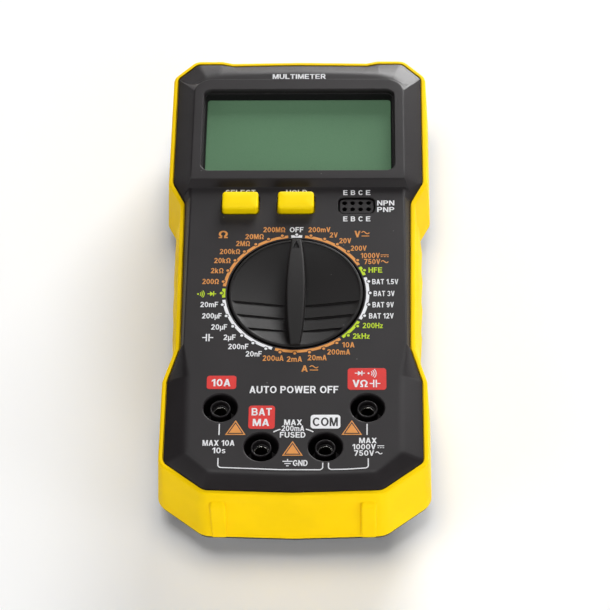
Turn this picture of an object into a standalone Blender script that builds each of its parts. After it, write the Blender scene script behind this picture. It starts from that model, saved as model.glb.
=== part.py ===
"""Handheld digital multimeter, 175 x 86 x 38 mm, lying on its back.

All dimensions in this file are millimetres and the helpers scale them to metres. x and y are
measured from the dial's axis and z from the surface that the feet stand on. The empty "meter"
carries every piece, and moves them so that the origin is below the middle of the case.
"""

import math

import bmesh
import bpy
from mathutils import Matrix, Vector

MM = 0.001
CURVE_STEPS = 2  # straight pieces in each rounded corner of the case

# Heights above the table
FOOT_STANDOFF = 1.2
PANEL_Z = 35.0
BLOCK_Z = PANEL_Z + 2.3
RIM_Z = PANEL_Z - 3.0
LIP_Z = RIM_Z - 1.0
BOOT_LOW_Z = PANEL_Z - 25.0
SPLIT_Z = 20.0
BOARD_TOP_Z = PANEL_Z - 10.5
BOARD_LOW_Z = BOARD_TOP_Z - 1.6
PANEL_THICK = 2.2
WALL = 2.0
GAP = 0.3

# The case seen from the front: right-hand corners from the top middle to the bottom middle
CASE_HALF = [
    (0, 97.6, 0), (22.5, 97.2, 4), (26.0, 98.1, 4), (34.0, 98.1, 2.5), (40.2, 91.6, 2.5),
    (40.2, 47.0, 2), (36.2, 38.7, 4), (35.5, -19.2, 4), (39.0, -31.8, 4), (39.0, -61.0, 3),
    (26.5, -70.9, 4), (0, -71.8, 0),
]
# The flat panel inside the sloping border, with one corner for each corner of the case
PANEL_HALF = [
    (0, 92.3, 0), (20.5, 91.7, 6), (26.4, 91.3, 6), (31.0, 89.8, 2), (35.6, 85.5, 2),
    (34.0, 47.0, 4), (33.2, 38.7, 6), (33.2, -19.2, 6), (32.6, -31.8, 6), (32.3, -59.6, 2),
    (25.2, -66.4, 3), (0, -67.4, 0),
]
BOOT_OUT = 1.6  # the boot's rim stands this far out all round the case
BOOT_FLARE = 1.2  # and its walls lean out by this much more at the bottom
SHELL_IN = 1.0  # below its lip the case is this much smaller, inside the boot
# Finger grip on the right of the boot: four shallow scallops, then back inside the boot's wall
GRIP = [
    (37.4, 37.5), (38.6, 34.0), (39.0, 33.0), (38.6, 22.8), (39.0, 21.6), (38.4, 11.3),
    (38.8, 10.1), (38.2, -0.2), (38.5, -1.4), (37.9, -11.7), (38.2, -12.9), (37.6, -23.0),
    (36.4, -25.0), (36.4, 37.5),
]
RIB_X = 22.6
RIB_WIDTH = 4.8
RIB_FOOT_Y = -74.0

# Display
BLOCK_X = 34.3
BLOCK_LOW_Y = 44.5
BLOCK_TOP_Y = 86.8
STEP_FOOT_Y = 42.7
WINDOW_X = 31.1
WINDOW_Y = (48.1, 82.3)
LEDGE = 0.5
LEDGE_DEPTH = 1.9
DISPLAY_Y = 65.2
GLASS_SIZE = (63.4, 35.6)
GLASS_TOP_Z = PANEL_Z - 2.0
GLASS_THICK = 2.2

# Dial
DIAL_Y = -13.1  # the dial's axis, from the middle of the meter
KNOB_R = 20.95
WELL_R = 21.4
WELL_DEPTH = 3.4
HUB_HOLE_R = 8.0
BLADE_HALF = 3.0
BLADE_END_HALF = 1.6
BLADE_LENGTH = 41.2
DISH_R = 20.15
DISH_DEPTH = 2.8
LOUVRE_PITCH = 5.25
LOUVRE_FIRST_Y = -2.8
POSITIONS = 32
ROTOR_R = 15.6
DETENT_X = 15.3
DETENT_Z = PANEL_Z - 7.4

# Keys and transistor socket
KEY_Y = 35.4
KEY_SIZE = (11.5, 7.05)
KEY_RISE = 2.9
KEY_X = {"select": -18.15, "hold": -0.4}
KEY_TRAVEL = 1.2
SOCKET_AT = (18.95, 35.05)
SOCKET_SIZE = (11.1, 6.2)
PIN_PITCH = 2.54

# Input jacks: upper pair and lower pair, 19 mm apart
JACKS = {"10a": (-22.25, -43.4), "ma": (-9.6, -57.6), "com": (9.6, -57.6), "volt": (22.25, -43.4)}
JACK_WELL_R = 5.15
JACK_POST_R = 3.1
JACK_BORE_R = 2.1
JACK_TUBE_R = 6.5

# Back of the case
BACK_IN = 6.5
STAND_X = 26.0
STAND_Y = (-46.0, 43.0)
HINGE_Z = 3.1
STAND_RECESS_Z = 5.2
BAY_Y = 66.5
BAY_HALF = (27.4, 13.8)
BAY_CEILING_Z = 21.2
COVER_HALF = (29.4, 16.4)
COVER_SCREW_Y = 86.0
CASE_SCREWS = [(29.4, 87.9), (-29.4, 87.9), (28.5, -55.0), (-28.5, -55.0)]
BOARD_SCREWS = [(27.0, 23.0), (-27.0, 23.0), (27.0, -22.0), (-27.0, -22.0)]
FEET = [(16.0, 87.6), (-16.0, 87.6), (17.0, -60.6), (-17.0, -60.6)]
FOOT_R = 3.6

for leftover in list(bpy.data.objects):
    bpy.data.objects.remove(leftover)

PARTS = bpy.data.collections.new("digital_multimeter")
CUTTERS = bpy.data.collections.new("cutters")
for group in (PARTS, CUTTERS):
    bpy.context.scene.collection.children.link(group)


# --- outlines ---------------------------------------------------------------------------------

def mirrored(half):
    """A closed outline from its right half, in which corners at x = 0 aren't repeated."""
    return half + [(-x, y, radius) for x, y, radius in reversed(half) if x > 0]


def rounded(corners, steps=CURVE_STEPS):
    """Points round the corners (x, y, radius) of a closed outline."""
    points = []
    for index, (x, y, radius) in enumerate(corners):
        if radius == 0:
            points.append((x, y))
            continue
        corner = Vector((x, y))
        back = (Vector(corners[index - 1][:2]) - corner).normalized()
        ahead = (Vector(corners[(index + 1) % len(corners)][:2]) - corner).normalized()
        half_angle = back.angle(ahead) / 2
        centre = corner + (back + ahead).normalized() * radius / math.sin(half_angle)
        start = corner + back * radius / math.tan(half_angle) - centre
        end = corner + ahead * radius / math.tan(half_angle) - centre
        for step in range(steps + 1):
            spoke = start.lerp(end, step / steps).normalized() * radius
            points.append(tuple(centre + spoke))
    return points


def grown(corners, by):
    """Clockwise corners (x, y, radius) moved outwards by a distance, with concentric rounding."""
    moved = []
    for index, (x, y, radius) in enumerate(corners):
        here = Vector((x, y))
        into = (here - Vector(corners[index - 1][:2])).normalized()
        out = (Vector(corners[(index + 1) % len(corners)][:2]) - here).normalized()
        bulges = into.x * out.y - into.y * out.x < 0
        if radius > 0:
            radius = max(0.8, radius + by if bulges else radius - by)
        left_of_in = Vector((-into.y, into.x))
        sideways = (left_of_in + Vector((-out.y, out.x))).normalized()
        moved.append((*(here + sideways * by / sideways.dot(left_of_in)), radius))
    return moved


def case(by=0.0):
    """The outline of the case at its lip, moved outwards by a distance."""
    return rounded(grown(mirrored(CASE_HALF), by))


def panel(by=0.0):
    """The outline of the flat panel, moved outwards by a distance."""
    return rounded(grown(mirrored(PANEL_HALF), by))


def rectangle(width, height, radius=0.0, centre=(0.0, 0.0), steps=CURVE_STEPS):
    """A rectangle with rounded corners."""
    x, y = centre
    corners = [(-1, 1), (1, 1), (1, -1), (-1, -1)]
    return rounded([(x + i * width / 2, y + j * height / 2, radius) for i, j in corners], steps)


def circle(radius, sides=32, centre=(0.0, 0.0)):
    """A regular outline of the given radius."""
    turns = [math.tau * index / sides for index in range(sides)]
    return [(centre[0] + radius * math.sin(a), centre[1] + radius * math.cos(a)) for a in turns]


# --- solids -----------------------------------------------------------------------------------

def finished(form, name="form"):
    """A mesh from a bmesh, with its faces pointing out."""
    bmesh.ops.recalc_face_normals(form, faces=form.faces)
    if form.calc_volume(signed=True) < 0:
        bmesh.ops.reverse_faces(form, faces=form.faces)
    mesh = bpy.data.meshes.new(name)
    form.to_mesh(mesh)
    form.free()
    return mesh


def plate(outline, low, high):
    """A flat outline with a thickness, from low to high."""
    curve = bpy.data.curves.new("outline", "CURVE")
    curve.dimensions = "2D"
    curve.fill_mode = "BOTH"
    curve.extrude = (high - low) / 2 * MM
    spline = curve.splines.new("POLY")
    spline.points.add(len(outline) - 1)
    for point, (x, y) in zip(spline.points, outline):
        point.co = (x * MM, y * MM, 0, 1)
    spline.use_cyclic_u = True
    holder = bpy.data.objects.new("outline", curve)
    CUTTERS.objects.link(holder)
    graph = bpy.context.evaluated_depsgraph_get()
    mesh = bpy.data.meshes.new_from_object(holder.evaluated_get(graph))
    bpy.data.objects.remove(holder)
    form = bmesh.new()
    form.from_mesh(mesh)
    bmesh.ops.remove_doubles(form, verts=form.verts, dist=1e-7)
    bmesh.ops.translate(form, verts=form.verts, vec=(0, 0, (low + high) / 2 * MM))
    return finished(form)


def loft(sections):
    """A closed solid through outlines with equal numbers of points, each with its height."""
    form = bmesh.new()
    rings = []
    for outline, z in sections:
        rings.append([form.verts.new((x * MM, y * MM, z * MM)) for x, y in outline])
    for low, high in zip(rings, rings[1:]):
        for index in range(len(low)):
            form.faces.new((low[index - 1], low[index], high[index], high[index - 1]))
    form.faces.new(rings[0])
    form.faces.new(rings[-1])
    bmesh.ops.triangulate(form, faces=form.faces)
    return finished(form)


def cylinder(radius, low, high, at=(0.0, 0.0), sides=24, along="Z"):
    """A cylinder from low to high along an axis through a point of the plane across it."""
    form = bmesh.new()
    middle = (low + high) / 2
    place = {"X": (middle, *at), "Y": (at[0], middle, at[1]), "Z": (*at, middle)}[along]
    turn = {"X": Matrix.Rotation(math.pi / 2, 4, "Y"), "Y": Matrix.Rotation(math.pi / 2, 4, "X"),
            "Z": Matrix.Identity(4)}[along]
    bmesh.ops.create_cone(form, cap_ends=True, segments=sides, radius1=radius * MM,
                          radius2=radius * MM, depth=(high - low) * MM,
                          matrix=Matrix.Translation(Vector(place) * MM) @ turn)
    return finished(form)


def box(x, y, z):
    """A box from its three ranges."""
    form = bmesh.new()
    ranges = (x, y, z)
    size = [(high - low) * MM for low, high in ranges]
    middle = [(low + high) / 2 * MM for low, high in ranges]
    bmesh.ops.create_cube(form, size=1.0)
    bmesh.ops.scale(form, verts=form.verts, vec=size)
    bmesh.ops.translate(form, verts=form.verts, vec=middle)
    return finished(form)


def side_plate(outline, low, high, along="Y"):
    """A plate standing on edge: along Y its outline is (x, z), and along X it is (y, z)."""
    mesh = plate(outline, low, high)
    axes = {"Y": Matrix(((1, 0, 0), (0, 0, 1), (0, 1, 0))),
            "X": Matrix(((0, 0, 1), (1, 0, 0), (0, 1, 0)))}[along]
    form = bmesh.new()
    form.from_mesh(mesh)
    bmesh.ops.transform(form, verts=form.verts, matrix=axes.to_4x4())
    return finished(form)


def together(*meshes):
    """Several solids in one mesh, for a cutter."""
    form = bmesh.new()
    for mesh in meshes:
        form.from_mesh(mesh)
    return finished(form)


def smooth_path(knots, between=3):
    """Points on a Catmull-Rom curve through the knots."""
    knots = [Vector(knot) for knot in knots]
    padded = [knots[0] * 2 - knots[1], *knots, knots[-1] * 2 - knots[-2]]
    points = []
    for a, b, c, d in zip(padded, padded[1:], padded[2:], padded[3:]):
        for step in range(between):
            t = step / between
            points.append(0.5 * (2 * b + (c - a) * t + (2 * a - 5 * b + 4 * c - d) * t ** 2
                                 + (3 * b - 3 * c + d - a) * t ** 3))
    points.append(knots[-1])
    return points


# --- objects ----------------------------------------------------------------------------------

def material(name, colour, roughness, metallic=0.0, alpha=1.0):
    """A Principled material."""
    made = bpy.data.materials.new(name)
    made.use_nodes = True
    shader = made.node_tree.nodes["Principled BSDF"]
    shader.inputs["Base Color"].default_value = (*colour, 1.0)
    shader.inputs["Roughness"].default_value = roughness
    shader.inputs["Metallic"].default_value = metallic
    shader.inputs["Alpha"].default_value = alpha
    return made


BLACK = material("black_plastic", (0.035, 0.033, 0.035), 0.5)
KNOB_BLACK = material("knob_plastic", (0.025, 0.023, 0.023), 0.42)
YELLOW = material("yellow_rubber", (0.93, 0.72, 0.005), 0.5)
KEY_YELLOW = material("yellow_plastic", (0.94, 0.75, 0.0), 0.35)
CLEAR = material("clear_acrylic", (0.9, 0.92, 0.9), 0.05, alpha=0.2)
LCD = material("display_glass", (0.115, 0.21, 0.135), 0.25)
BOARD = material("board_laminate", (0.02, 0.16, 0.07), 0.45)
BRASS = material("brass", (0.72, 0.5, 0.2), 0.3, 1.0)
STEEL = material("zinc_steel", (0.6, 0.6, 0.58), 0.3, 1.0)
RUBBER = material("black_rubber", (0.02, 0.02, 0.02), 0.8)
GREY_RUBBER = material("contact_rubber", (0.25, 0.25, 0.27), 0.7)
WHITE = material("white_plastic", (0.75, 0.74, 0.7), 0.5)
GLASS = material("fuse_glass", (0.85, 0.88, 0.86), 0.05, alpha=0.4)
JACKET = material("battery_jacket", (0.06, 0.09, 0.16), 0.35)
RED_WIRE = material("red_insulation", (0.55, 0.02, 0.02), 0.5)
BLACK_WIRE = material("black_insulation", (0.02, 0.02, 0.02), 0.5)
BLUE = material("blue_plastic", (0.03, 0.12, 0.45), 0.4)

METER = bpy.data.objects.new("meter", None)
PARTS.objects.link(METER)
METER.location.y = DIAL_Y * MM


def piece(name, mesh, look, at=(0.0, 0.0, 0.0)):
    """A named sub-part, with its own origin at a place in the meter."""
    made = bpy.data.objects.new(name, mesh)
    PARTS.objects.link(made)
    mesh.materials.append(look)
    made.parent = METER
    made.location = Vector(at) * MM
    return made


def carve(target, mesh, operation="DIFFERENCE"):
    """Cut a solid out of a piece, or join it on; the solid is placed from the piece's origin."""
    tool = bpy.data.objects.new(target.name + "_tool", mesh)
    CUTTERS.objects.link(tool)
    tool.parent = target
    tool.hide_render = True
    tool.display_type = "WIRE"
    boolean = target.modifiers.new(operation.lower(), "BOOLEAN")
    boolean.operation = operation
    boolean.solver = "EXACT"
    boolean.object = tool


def smooth(made, angle=40.0):
    """Smooth shading with sharp edges kept."""
    made.data.shade_smooth()
    made.data.set_sharp_from_angle(angle=math.radians(angle))


def wire(name, points, radius, look, at=(0.0, 0.0, 0.0)):
    """A round wire through points given from a place in the meter."""
    curve = bpy.data.curves.new(name, "CURVE")
    curve.dimensions = "3D"
    curve.bevel_depth = radius * MM
    curve.bevel_resolution = 2
    curve.use_fill_caps = True
    spline = curve.splines.new("POLY")
    spline.points.add(len(points) - 1)
    for point, place in zip(spline.points, points):
        point.co = (*(Vector(place) * MM), 1)
    return piece(name, curve, look, at)


def coil_points(radius, length, turns, along):
    """Points on a helix that starts at the origin and runs along an axis."""
    per_turn = 8
    points = []
    for step in range(turns * per_turn + 1):
        angle = math.tau * step / per_turn
        rise = length * step / (turns * per_turn)
        across = (radius * math.cos(angle), radius * math.sin(angle))
        points.append((*across, rise) if along == "Z" else (rise, *across))
    return points


# --- case -------------------------------------------------------------------------------------

def front_shell():
    """Black front shell: sloping border, panel, display block, dial well and jack wells."""
    body = [(case(-SHELL_IN), SPLIT_Z + GAP), (case(-SHELL_IN), LIP_Z), (case(), LIP_Z),
            (case(), RIM_Z), (panel(), PANEL_Z)]
    shell = piece("front_shell", loft(body), BLACK)
    carve(shell, loft(block_sections()), "UNION")
    underside_z = PANEL_Z - PANEL_THICK
    carve(shell, loft([
        (case(-SHELL_IN - WALL), SPLIT_Z - 1),
        (case(-SHELL_IN - WALL), RIM_Z - 2.5),
        (panel(-1.5), underside_z),
    ]))
    lands = [cylinder(WELL_R + 1.6, PANEL_Z - WELL_DEPTH - 1.8, PANEL_Z - 1, sides=40)]
    lands += [cylinder(JACK_TUBE_R, BOARD_TOP_Z + GAP, PANEL_Z - 1, at, 20) for at in JACKS.values()]
    lands += [cylinder(3.2, SPLIT_Z + GAP, PANEL_Z - 1, at, 12) for at in CASE_SCREWS]
    lands += [cylinder(2.4, BOARD_TOP_Z + GAP, PANEL_Z - 1, at, 8) for at in BOARD_SCREWS]
    for land in lands:
        carve(shell, land, "UNION")
    carve(shell, together(
        cylinder(WELL_R, PANEL_Z - WELL_DEPTH, PANEL_Z + 1, sides=48),
        *[cylinder(1.6, SPLIT_Z - 1, PANEL_Z - 5, at, 8) for at in CASE_SCREWS],
        *[cylinder(1.2, BOARD_TOP_Z - 1, PANEL_Z - 4, at, 8) for at in BOARD_SCREWS],
    ))
    carve(shell, cylinder(HUB_HOLE_R, PANEL_Z - 8, PANEL_Z, sides=24))
    for at in JACKS.values():
        carve(shell, ring(JACK_WELL_R, JACK_POST_R, PANEL_Z - 9.2, PANEL_Z + 1, at))
        carve(shell, together(cylinder(JACK_POST_R + 1, PANEL_Z - 0.6, PANEL_Z + 1, at, 16),
                              cylinder(2.6, BOARD_TOP_Z - 1, PANEL_Z - 2.6, at, 16)))
        carve(shell, cylinder(JACK_BORE_R, PANEL_Z - 4, PANEL_Z, at, 16))
    carve_window(shell)
    for x in KEY_X.values():
        opening = rectangle(KEY_SIZE[0] + 0.6, KEY_SIZE[1] + 0.6, 1.2, (x, KEY_Y))
        carve(shell, plate(opening, PANEL_Z - 4, PANEL_Z + 1))
    opening = rectangle(SOCKET_SIZE[0] + 0.6, SOCKET_SIZE[1] + 0.6, 2.0, SOCKET_AT)
    carve(shell, plate(opening, PANEL_Z - 4, PANEL_Z + 1))
    smooth(shell)


def block_sections():
    """The raised display block, from the rim of the case to its flat top."""
    drop = BLOCK_Z - RIM_Z
    step_run = (BLOCK_LOW_Y - STEP_FOOT_Y) * drop / (BLOCK_Z - PANEL_Z)
    low = [(37.0, BLOCK_LOW_Y - step_run), (40.15, 47.0), (40.15, 91.5)]
    high = [(BLOCK_X, BLOCK_LOW_Y), (BLOCK_X, 47.5), (BLOCK_X, BLOCK_TOP_Y - 5.5)]
    corner = (BLOCK_X - 5.5, BLOCK_TOP_Y - 5.5)
    for step in range(1, 5):
        angle = math.pi / 2 * step / 4
        high.append((corner[0] + 5.5 * math.cos(angle), corner[1] + 5.5 * math.sin(angle)))
        low.append((40.15 + (corner[0] - 40.15) * step / 4, 91.5 + (BLOCK_TOP_Y - 91.5) * step / 4))
    return [(half + [(-x, y) for x, y in reversed(half)], z)
            for half, z in ((low, RIM_Z + 0.01), (high, BLOCK_Z))]


def carve_window(shell):
    """The stepped opening over the display, and the pocket for its glass."""
    width, height = 2 * WINDOW_X, WINDOW_Y[1] - WINDOW_Y[0]
    centre = (0.0, sum(WINDOW_Y) / 2)
    carve(shell, plate(rectangle(width, height, 2.5, centre), BLOCK_Z - LEDGE_DEPTH, BLOCK_Z + 1))
    inner = rectangle(width - 2 * LEDGE, height - 2 * LEDGE, 1.5, centre)
    carve(shell, plate(inner, PANEL_Z - 4, BLOCK_Z))
    pocket_z = GLASS_TOP_Z + 0.2
    pocket = [side / 2 + 0.5 for side in GLASS_SIZE]
    carve(shell, box((-pocket[0], pocket[0]), (DISPLAY_Y - pocket[1], DISPLAY_Y + pocket[1]),
                     (pocket_z - 3, pocket_z)))


def ring(outer, inner, low, high, at, sides=20):
    """A tube, as a turned profile."""
    form = bmesh.new()
    profile = [(outer, high), (outer, low), (inner, low), (inner, high)]
    rings = []
    for radius, z in profile:
        rings.append([form.verts.new((x * MM, y * MM, z * MM))
                      for x, y in circle(radius, sides, at)])
    for first, second in zip(rings, rings[1:] + rings[:1]):
        for index in range(sides):
            form.faces.new((first[index - 1], first[index], second[index], second[index - 1]))
    return finished(form)


def rear_shell():
    """Black rear shell with the stand recess, battery bay and screw posts."""
    shell = piece("rear_shell", loft([
        (case(-BACK_IN), FOOT_STANDOFF),
        (case(BOOT_OUT + BOOT_FLARE - 0.4), BOOT_LOW_Z - 1.1),
        (case(BOOT_OUT + BOOT_FLARE - 0.4), BOOT_LOW_Z - GAP),
        (case(-SHELL_IN), BOOT_LOW_Z - GAP),
        (case(-SHELL_IN), SPLIT_Z),
    ]), BLACK)
    carve(shell, loft([
        (case(-BACK_IN - 2.2), FOOT_STANDOFF + 2.2),
        (case(-SHELL_IN - WALL), BOOT_LOW_Z + 0.5),
        (case(-SHELL_IN - WALL), SPLIT_Z + 1),
    ]))
    low_z = FOOT_STANDOFF + 0.8
    tray = box((-29.3, 29.3), (STAND_Y[0] - 7.5, STAND_Y[1] + 4), (low_z, STAND_RECESS_Z + 2))
    bay_box = box((-BAY_HALF[0] - 1.6, BAY_HALF[0] + 1.6),
                  (BAY_Y - BAY_HALF[1] - 1.6, BAY_Y + BAY_HALF[1] + 1.6),
                  (low_z, BAY_CEILING_Z + 1.2))
    cover_land = box((-31.4, 31.4), (BAY_Y - COVER_HALF[1] - 1.6, BAY_Y + COVER_HALF[1] + 1.6),
                     (low_z, FOOT_STANDOFF + 3.8))
    ear_land = box((-6.5, 6.5), (BAY_Y, COVER_SCREW_Y + 5.5), (low_z, FOOT_STANDOFF + 4.4))
    lands = [tray, bay_box, cover_land, ear_land, cylinder(3.2, low_z, 13.0, (0, COVER_SCREW_Y))]
    lands += [cylinder(4.3, low_z, SPLIT_Z, at, 12) for at in CASE_SCREWS]
    for land in lands:
        carve(shell, land, "UNION")
    recess_x = STAND_X + 0.5
    carve(shell, box((-recess_x, recess_x), (STAND_Y[0] - 0.6, STAND_Y[1] + 2.2),
                     (0, STAND_RECESS_Z)))
    carve(shell, plate(rectangle(18, 8, 2, (0, STAND_Y[0] - 2.6)), 0, STAND_RECESS_Z + 0.2))
    carve(shell, cylinder(1.4, -28.9, 28.9, (STAND_Y[1], HINGE_Z), 12, "X"))
    recess_z = FOOT_STANDOFF + 2.4
    carve(shell, plate(cover_outline(GAP), 0, recess_z))
    carve(shell, box((-BAY_HALF[0], BAY_HALF[0]), (BAY_Y - BAY_HALF[1], BAY_Y + BAY_HALF[1]),
                     (0, BAY_CEILING_Z)))
    carve(shell, box((22.4, 27.2), (BAY_Y - BAY_HALF[1] - 3, BAY_Y - BAY_HALF[1] + 1), (9, 17)))
    carve(shell, together(
        cylinder(1.4, 2, 12.5, (0, COVER_SCREW_Y), 8),
        *[cylinder(1.6, 0, SPLIT_Z + 1, at, 8) for at in CASE_SCREWS],
        *[cylinder(FOOT_R + GAP, 0, FOOT_STANDOFF + 0.8, at, 16) for at in FEET],
    ))
    for at in CASE_SCREWS:
        carve(shell, cylinder(3.2, 0, FOOT_STANDOFF + 2.6, at, 16))
    smooth(shell)


def cover_outline(by=0.0):
    """The battery cover: a rounded rectangle with an ear for its screw."""
    half = [
        (4.0, COVER_SCREW_Y + 3.6, 2.5), (5.0, BAY_Y + COVER_HALF[1], 1),
        (COVER_HALF[0], BAY_Y + COVER_HALF[1], 2), (COVER_HALF[0], BAY_Y - COVER_HALF[1], 2),
    ]
    return rounded(grown(mirrored(half), by), 2)


def protective_boot():
    """Yellow boot round the sides of the case, gripped between the two shells."""
    boot = piece("protective_boot", loft([
        (case(BOOT_OUT + BOOT_FLARE), BOOT_LOW_Z),
        (case(BOOT_OUT), RIM_Z - 0.7),
        (case(BOOT_OUT - 0.6), RIM_Z),
    ]), YELLOW)
    for side in (-1, 1):
        rib = rectangle(RIB_WIDTH, 4.0, 0.7, (side * RIB_X, RIB_FOOT_Y + 2.0), 2)
        carve(boot, plate(rib, BOOT_LOW_Z + 0.02, RIM_Z - 4.0), "UNION")
        grip = [(side * x, y) for x, y in GRIP]
        slim = [(side * (37.0 if x > 36.5 else x), y) for x, y in GRIP]
        leaning = [(side * (x + (BOOT_FLARE if x > 36.5 else 0)), y) for x, y in GRIP]
        bulge = loft([(leaning, BOOT_LOW_Z + 1.5), (grip, RIM_Z - 6.5), (slim, RIM_Z - 2.5)])
        carve(boot, bulge, "UNION")
    carve(boot, plate(case(GAP - SHELL_IN), BOOT_LOW_Z - 1, LIP_Z - 0.4))
    carve(boot, plate(case(GAP), LIP_Z - 0.4 - 0.01, RIM_Z + 1))
    smooth(boot)


# --- display and keys -------------------------------------------------------------------------

def display():
    """Window, liquid-crystal glass, its frame and the two contact strips."""
    centre = (0.0, sum(WINDOW_Y) / 2)
    lens = rectangle(2 * WINDOW_X - 0.6, WINDOW_Y[1] - WINDOW_Y[0] - 0.6, 2.2, centre)
    lens_z = BLOCK_Z - LEDGE_DEPTH + 0.2
    piece("display_lens", plate(lens, lens_z, lens_z + 1.1), CLEAR)
    half = [side / 2 for side in GLASS_SIZE]
    glass = box((-half[0], half[0]), (DISPLAY_Y - half[1], DISPLAY_Y + half[1]),
                (GLASS_TOP_Z - GLASS_THICK, GLASS_TOP_Z))
    piece("lcd_glass", glass, LCD)
    outer = rectangle(66, 38.4, 1, (0, DISPLAY_Y), 1)
    frame = piece("lcd_frame", plate(outer, BOARD_TOP_Z + GAP, PANEL_Z - 3.6), WHITE)
    inner = [side + 0.5 for side in half]
    carve(frame, box((-inner[0], inner[0]), (DISPLAY_Y - inner[1], DISPLAY_Y + inner[1]),
                     (BOARD_LOW_Z, PANEL_Z)))
    for name, side in (("zebra_strip_upper", 1), ("zebra_strip_lower", -1)):
        y = DISPLAY_Y + side * 16.2
        strip = box((-30, 30), (y - 1.1, y + 1.1), (BOARD_TOP_Z + 0.2, GLASS_TOP_Z - GLASS_THICK - 0.2))
        piece(name, strip, GREY_RUBBER)


def key_and_switch(name):
    """A yellow key, the spring that returns it, and the switch under it."""
    x = KEY_X[name]
    low_z = -PANEL_THICK - 1.1
    cap = rectangle(*KEY_SIZE, 1.0)
    top = rectangle(KEY_SIZE[0] - 1.0, KEY_SIZE[1] - 1.0, 0.8)
    key = piece(name + "_key", loft([(cap, low_z), (cap, KEY_RISE - 0.5), (top, KEY_RISE)]),
                KEY_YELLOW, (x, KEY_Y, PANEL_Z))
    flange = rectangle(KEY_SIZE[0] + 1.7, KEY_SIZE[1] + 1.6, 1.0)
    carve(key, plate(flange, low_z - 0.02, -PANEL_THICK - GAP), "UNION")
    carve(key, cylinder(1.2, -8.2, low_z + 0.5, sides=16), "UNION")
    smooth(key)
    switch_top = PANEL_Z - 6.6
    body = box((x - 3.5, x + 3.5), (KEY_Y - 3.5, KEY_Y + 3.5), (BOARD_TOP_Z + GAP, switch_top))
    switch = piece(name + "_switch", body, WHITE)
    carve(switch, cylinder(1.6, PANEL_Z - 9.9, PANEL_Z, (x, KEY_Y), 16))
    spring_length = PANEL_Z + low_z - 0.4 - (switch_top + 0.4)
    wire(name + "_spring", coil_points(2.0, spring_length, 3, "Z"), 0.2, STEEL,
         (x, KEY_Y, switch_top + 0.4))


def transistor_socket():
    """Eight-hole transistor socket, two rows of four."""
    top_z = PANEL_Z - 0.5
    outline = rectangle(*SOCKET_SIZE, 1.7, SOCKET_AT)
    socket = piece("transistor_socket", plate(outline, BOARD_TOP_Z + GAP, top_z), BLACK)
    holes = []
    for column in range(4):
        for row in (-0.5, 0.5):
            at = (SOCKET_AT[0] + (column - 1.5) * PIN_PITCH, SOCKET_AT[1] + row * PIN_PITCH)
            holes.append(cylinder(0.6, top_z - 5, top_z + 1, at, 8))
    carve(socket, together(*holes))


# --- dial -------------------------------------------------------------------------------------

def blade_half_width(y):
    """Half the width of the dial's handle at a distance from the dial's axis."""
    return BLADE_HALF - (BLADE_HALF - BLADE_END_HALF) * (2 * y / BLADE_LENGTH) ** 2


def dish_height(x):
    """Height of the finger dish, which deepens from the rim of the dial to the handle."""
    return -DISH_DEPTH * (DISH_R - x) / (DISH_R - BLADE_HALF)


def selector_knob():
    """The dial: a dished disc with a lens-shaped handle and grooves on its lower half."""
    knob = piece("selector_knob", cylinder(KNOB_R, -3.1, 0.3, sides=48), KNOB_BLACK,
                 (0, 0, PANEL_Z))
    carve(knob, cylinder(7.4, -5.4, -2.5, sides=32), "UNION")
    carve(knob, cylinder(5.0, -9.0, -5.0, sides=6), "UNION")
    arc = [math.radians(angle) for angle in range(6, 175, 7)]
    for side in (1, -1):
        rim = [(side * DISH_R * math.sin(a), DISH_R * math.cos(a)) for a in arc]
        inner = [(side * blade_half_width(y), y) for y in (-19.4, -13, -6.5, 0, 6.5, 13, 19.4)]
        slope = [(side * x, dish_height(x)) for x in (DISH_R, 2.0)]
        wedge = slope + [(side * 2.0, 6.0), (side * DISH_R, 6.0)]
        region = plate(rim + inner, -3.0, 5.0)
        carve(knob, common(side_plate(wedge, -21, 21), region))
        for index in range(3):
            y = LOUVRE_FIRST_Y - index * LOUVRE_PITCH
            reach = math.sqrt(DISH_R ** 2 - (y - 0.8) ** 2) - 0.4
            groove = [(side * 3.3, dish_height(3.3) - 0.5), (side * reach, dish_height(reach) - 0.5),
                      (side * reach, 4.0), (side * 3.3, 4.0)]
            carve(knob, side_plate(groove, y - 0.8, y))
    ends = [-BLADE_LENGTH / 2 + BLADE_LENGTH * step / 12 for step in range(13)]
    lens = [(blade_half_width(y), y) for y in ends]
    lens += [(-blade_half_width(y), y) for y in reversed(ends)]
    crown = [(y, 1.35 + 0.9 * (1 - (2 * y / BLADE_LENGTH) ** 2)) for y in ends]
    side_view = [(-BLADE_LENGTH / 2 - 0.01, -2.9), *[(y, z) for y, z in crown],
                 (BLADE_LENGTH / 2 + 0.01, -2.9)]
    side_view[1] = (-BLADE_LENGTH / 2 - 0.01, 1.35)
    side_view[-2] = (BLADE_LENGTH / 2 + 0.01, 1.35)
    carve(knob, common(side_plate(side_view, -5, 5, "X"), plate(lens, -2.8, 5.0)), "UNION")
    pointer = [(0, 20.0), (1.0, 17.2), (-1.0, 17.2)]
    carve(knob, plate(pointer, 1.1, 5.0))
    smooth(knob)


def common(first, second):
    """The solid that two solids share."""
    holders = [bpy.data.objects.new("solid", mesh) for mesh in (first, second)]
    for holder in holders:
        CUTTERS.objects.link(holder)
    boolean = holders[0].modifiers.new("common", "BOOLEAN")
    boolean.operation = "INTERSECT"
    boolean.solver = "EXACT"
    boolean.object = holders[1]
    graph = bpy.context.evaluated_depsgraph_get()
    mesh = bpy.data.meshes.new_from_object(holders[0].evaluated_get(graph))
    for holder in holders:
        bpy.data.objects.remove(holder)
    return mesh


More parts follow.
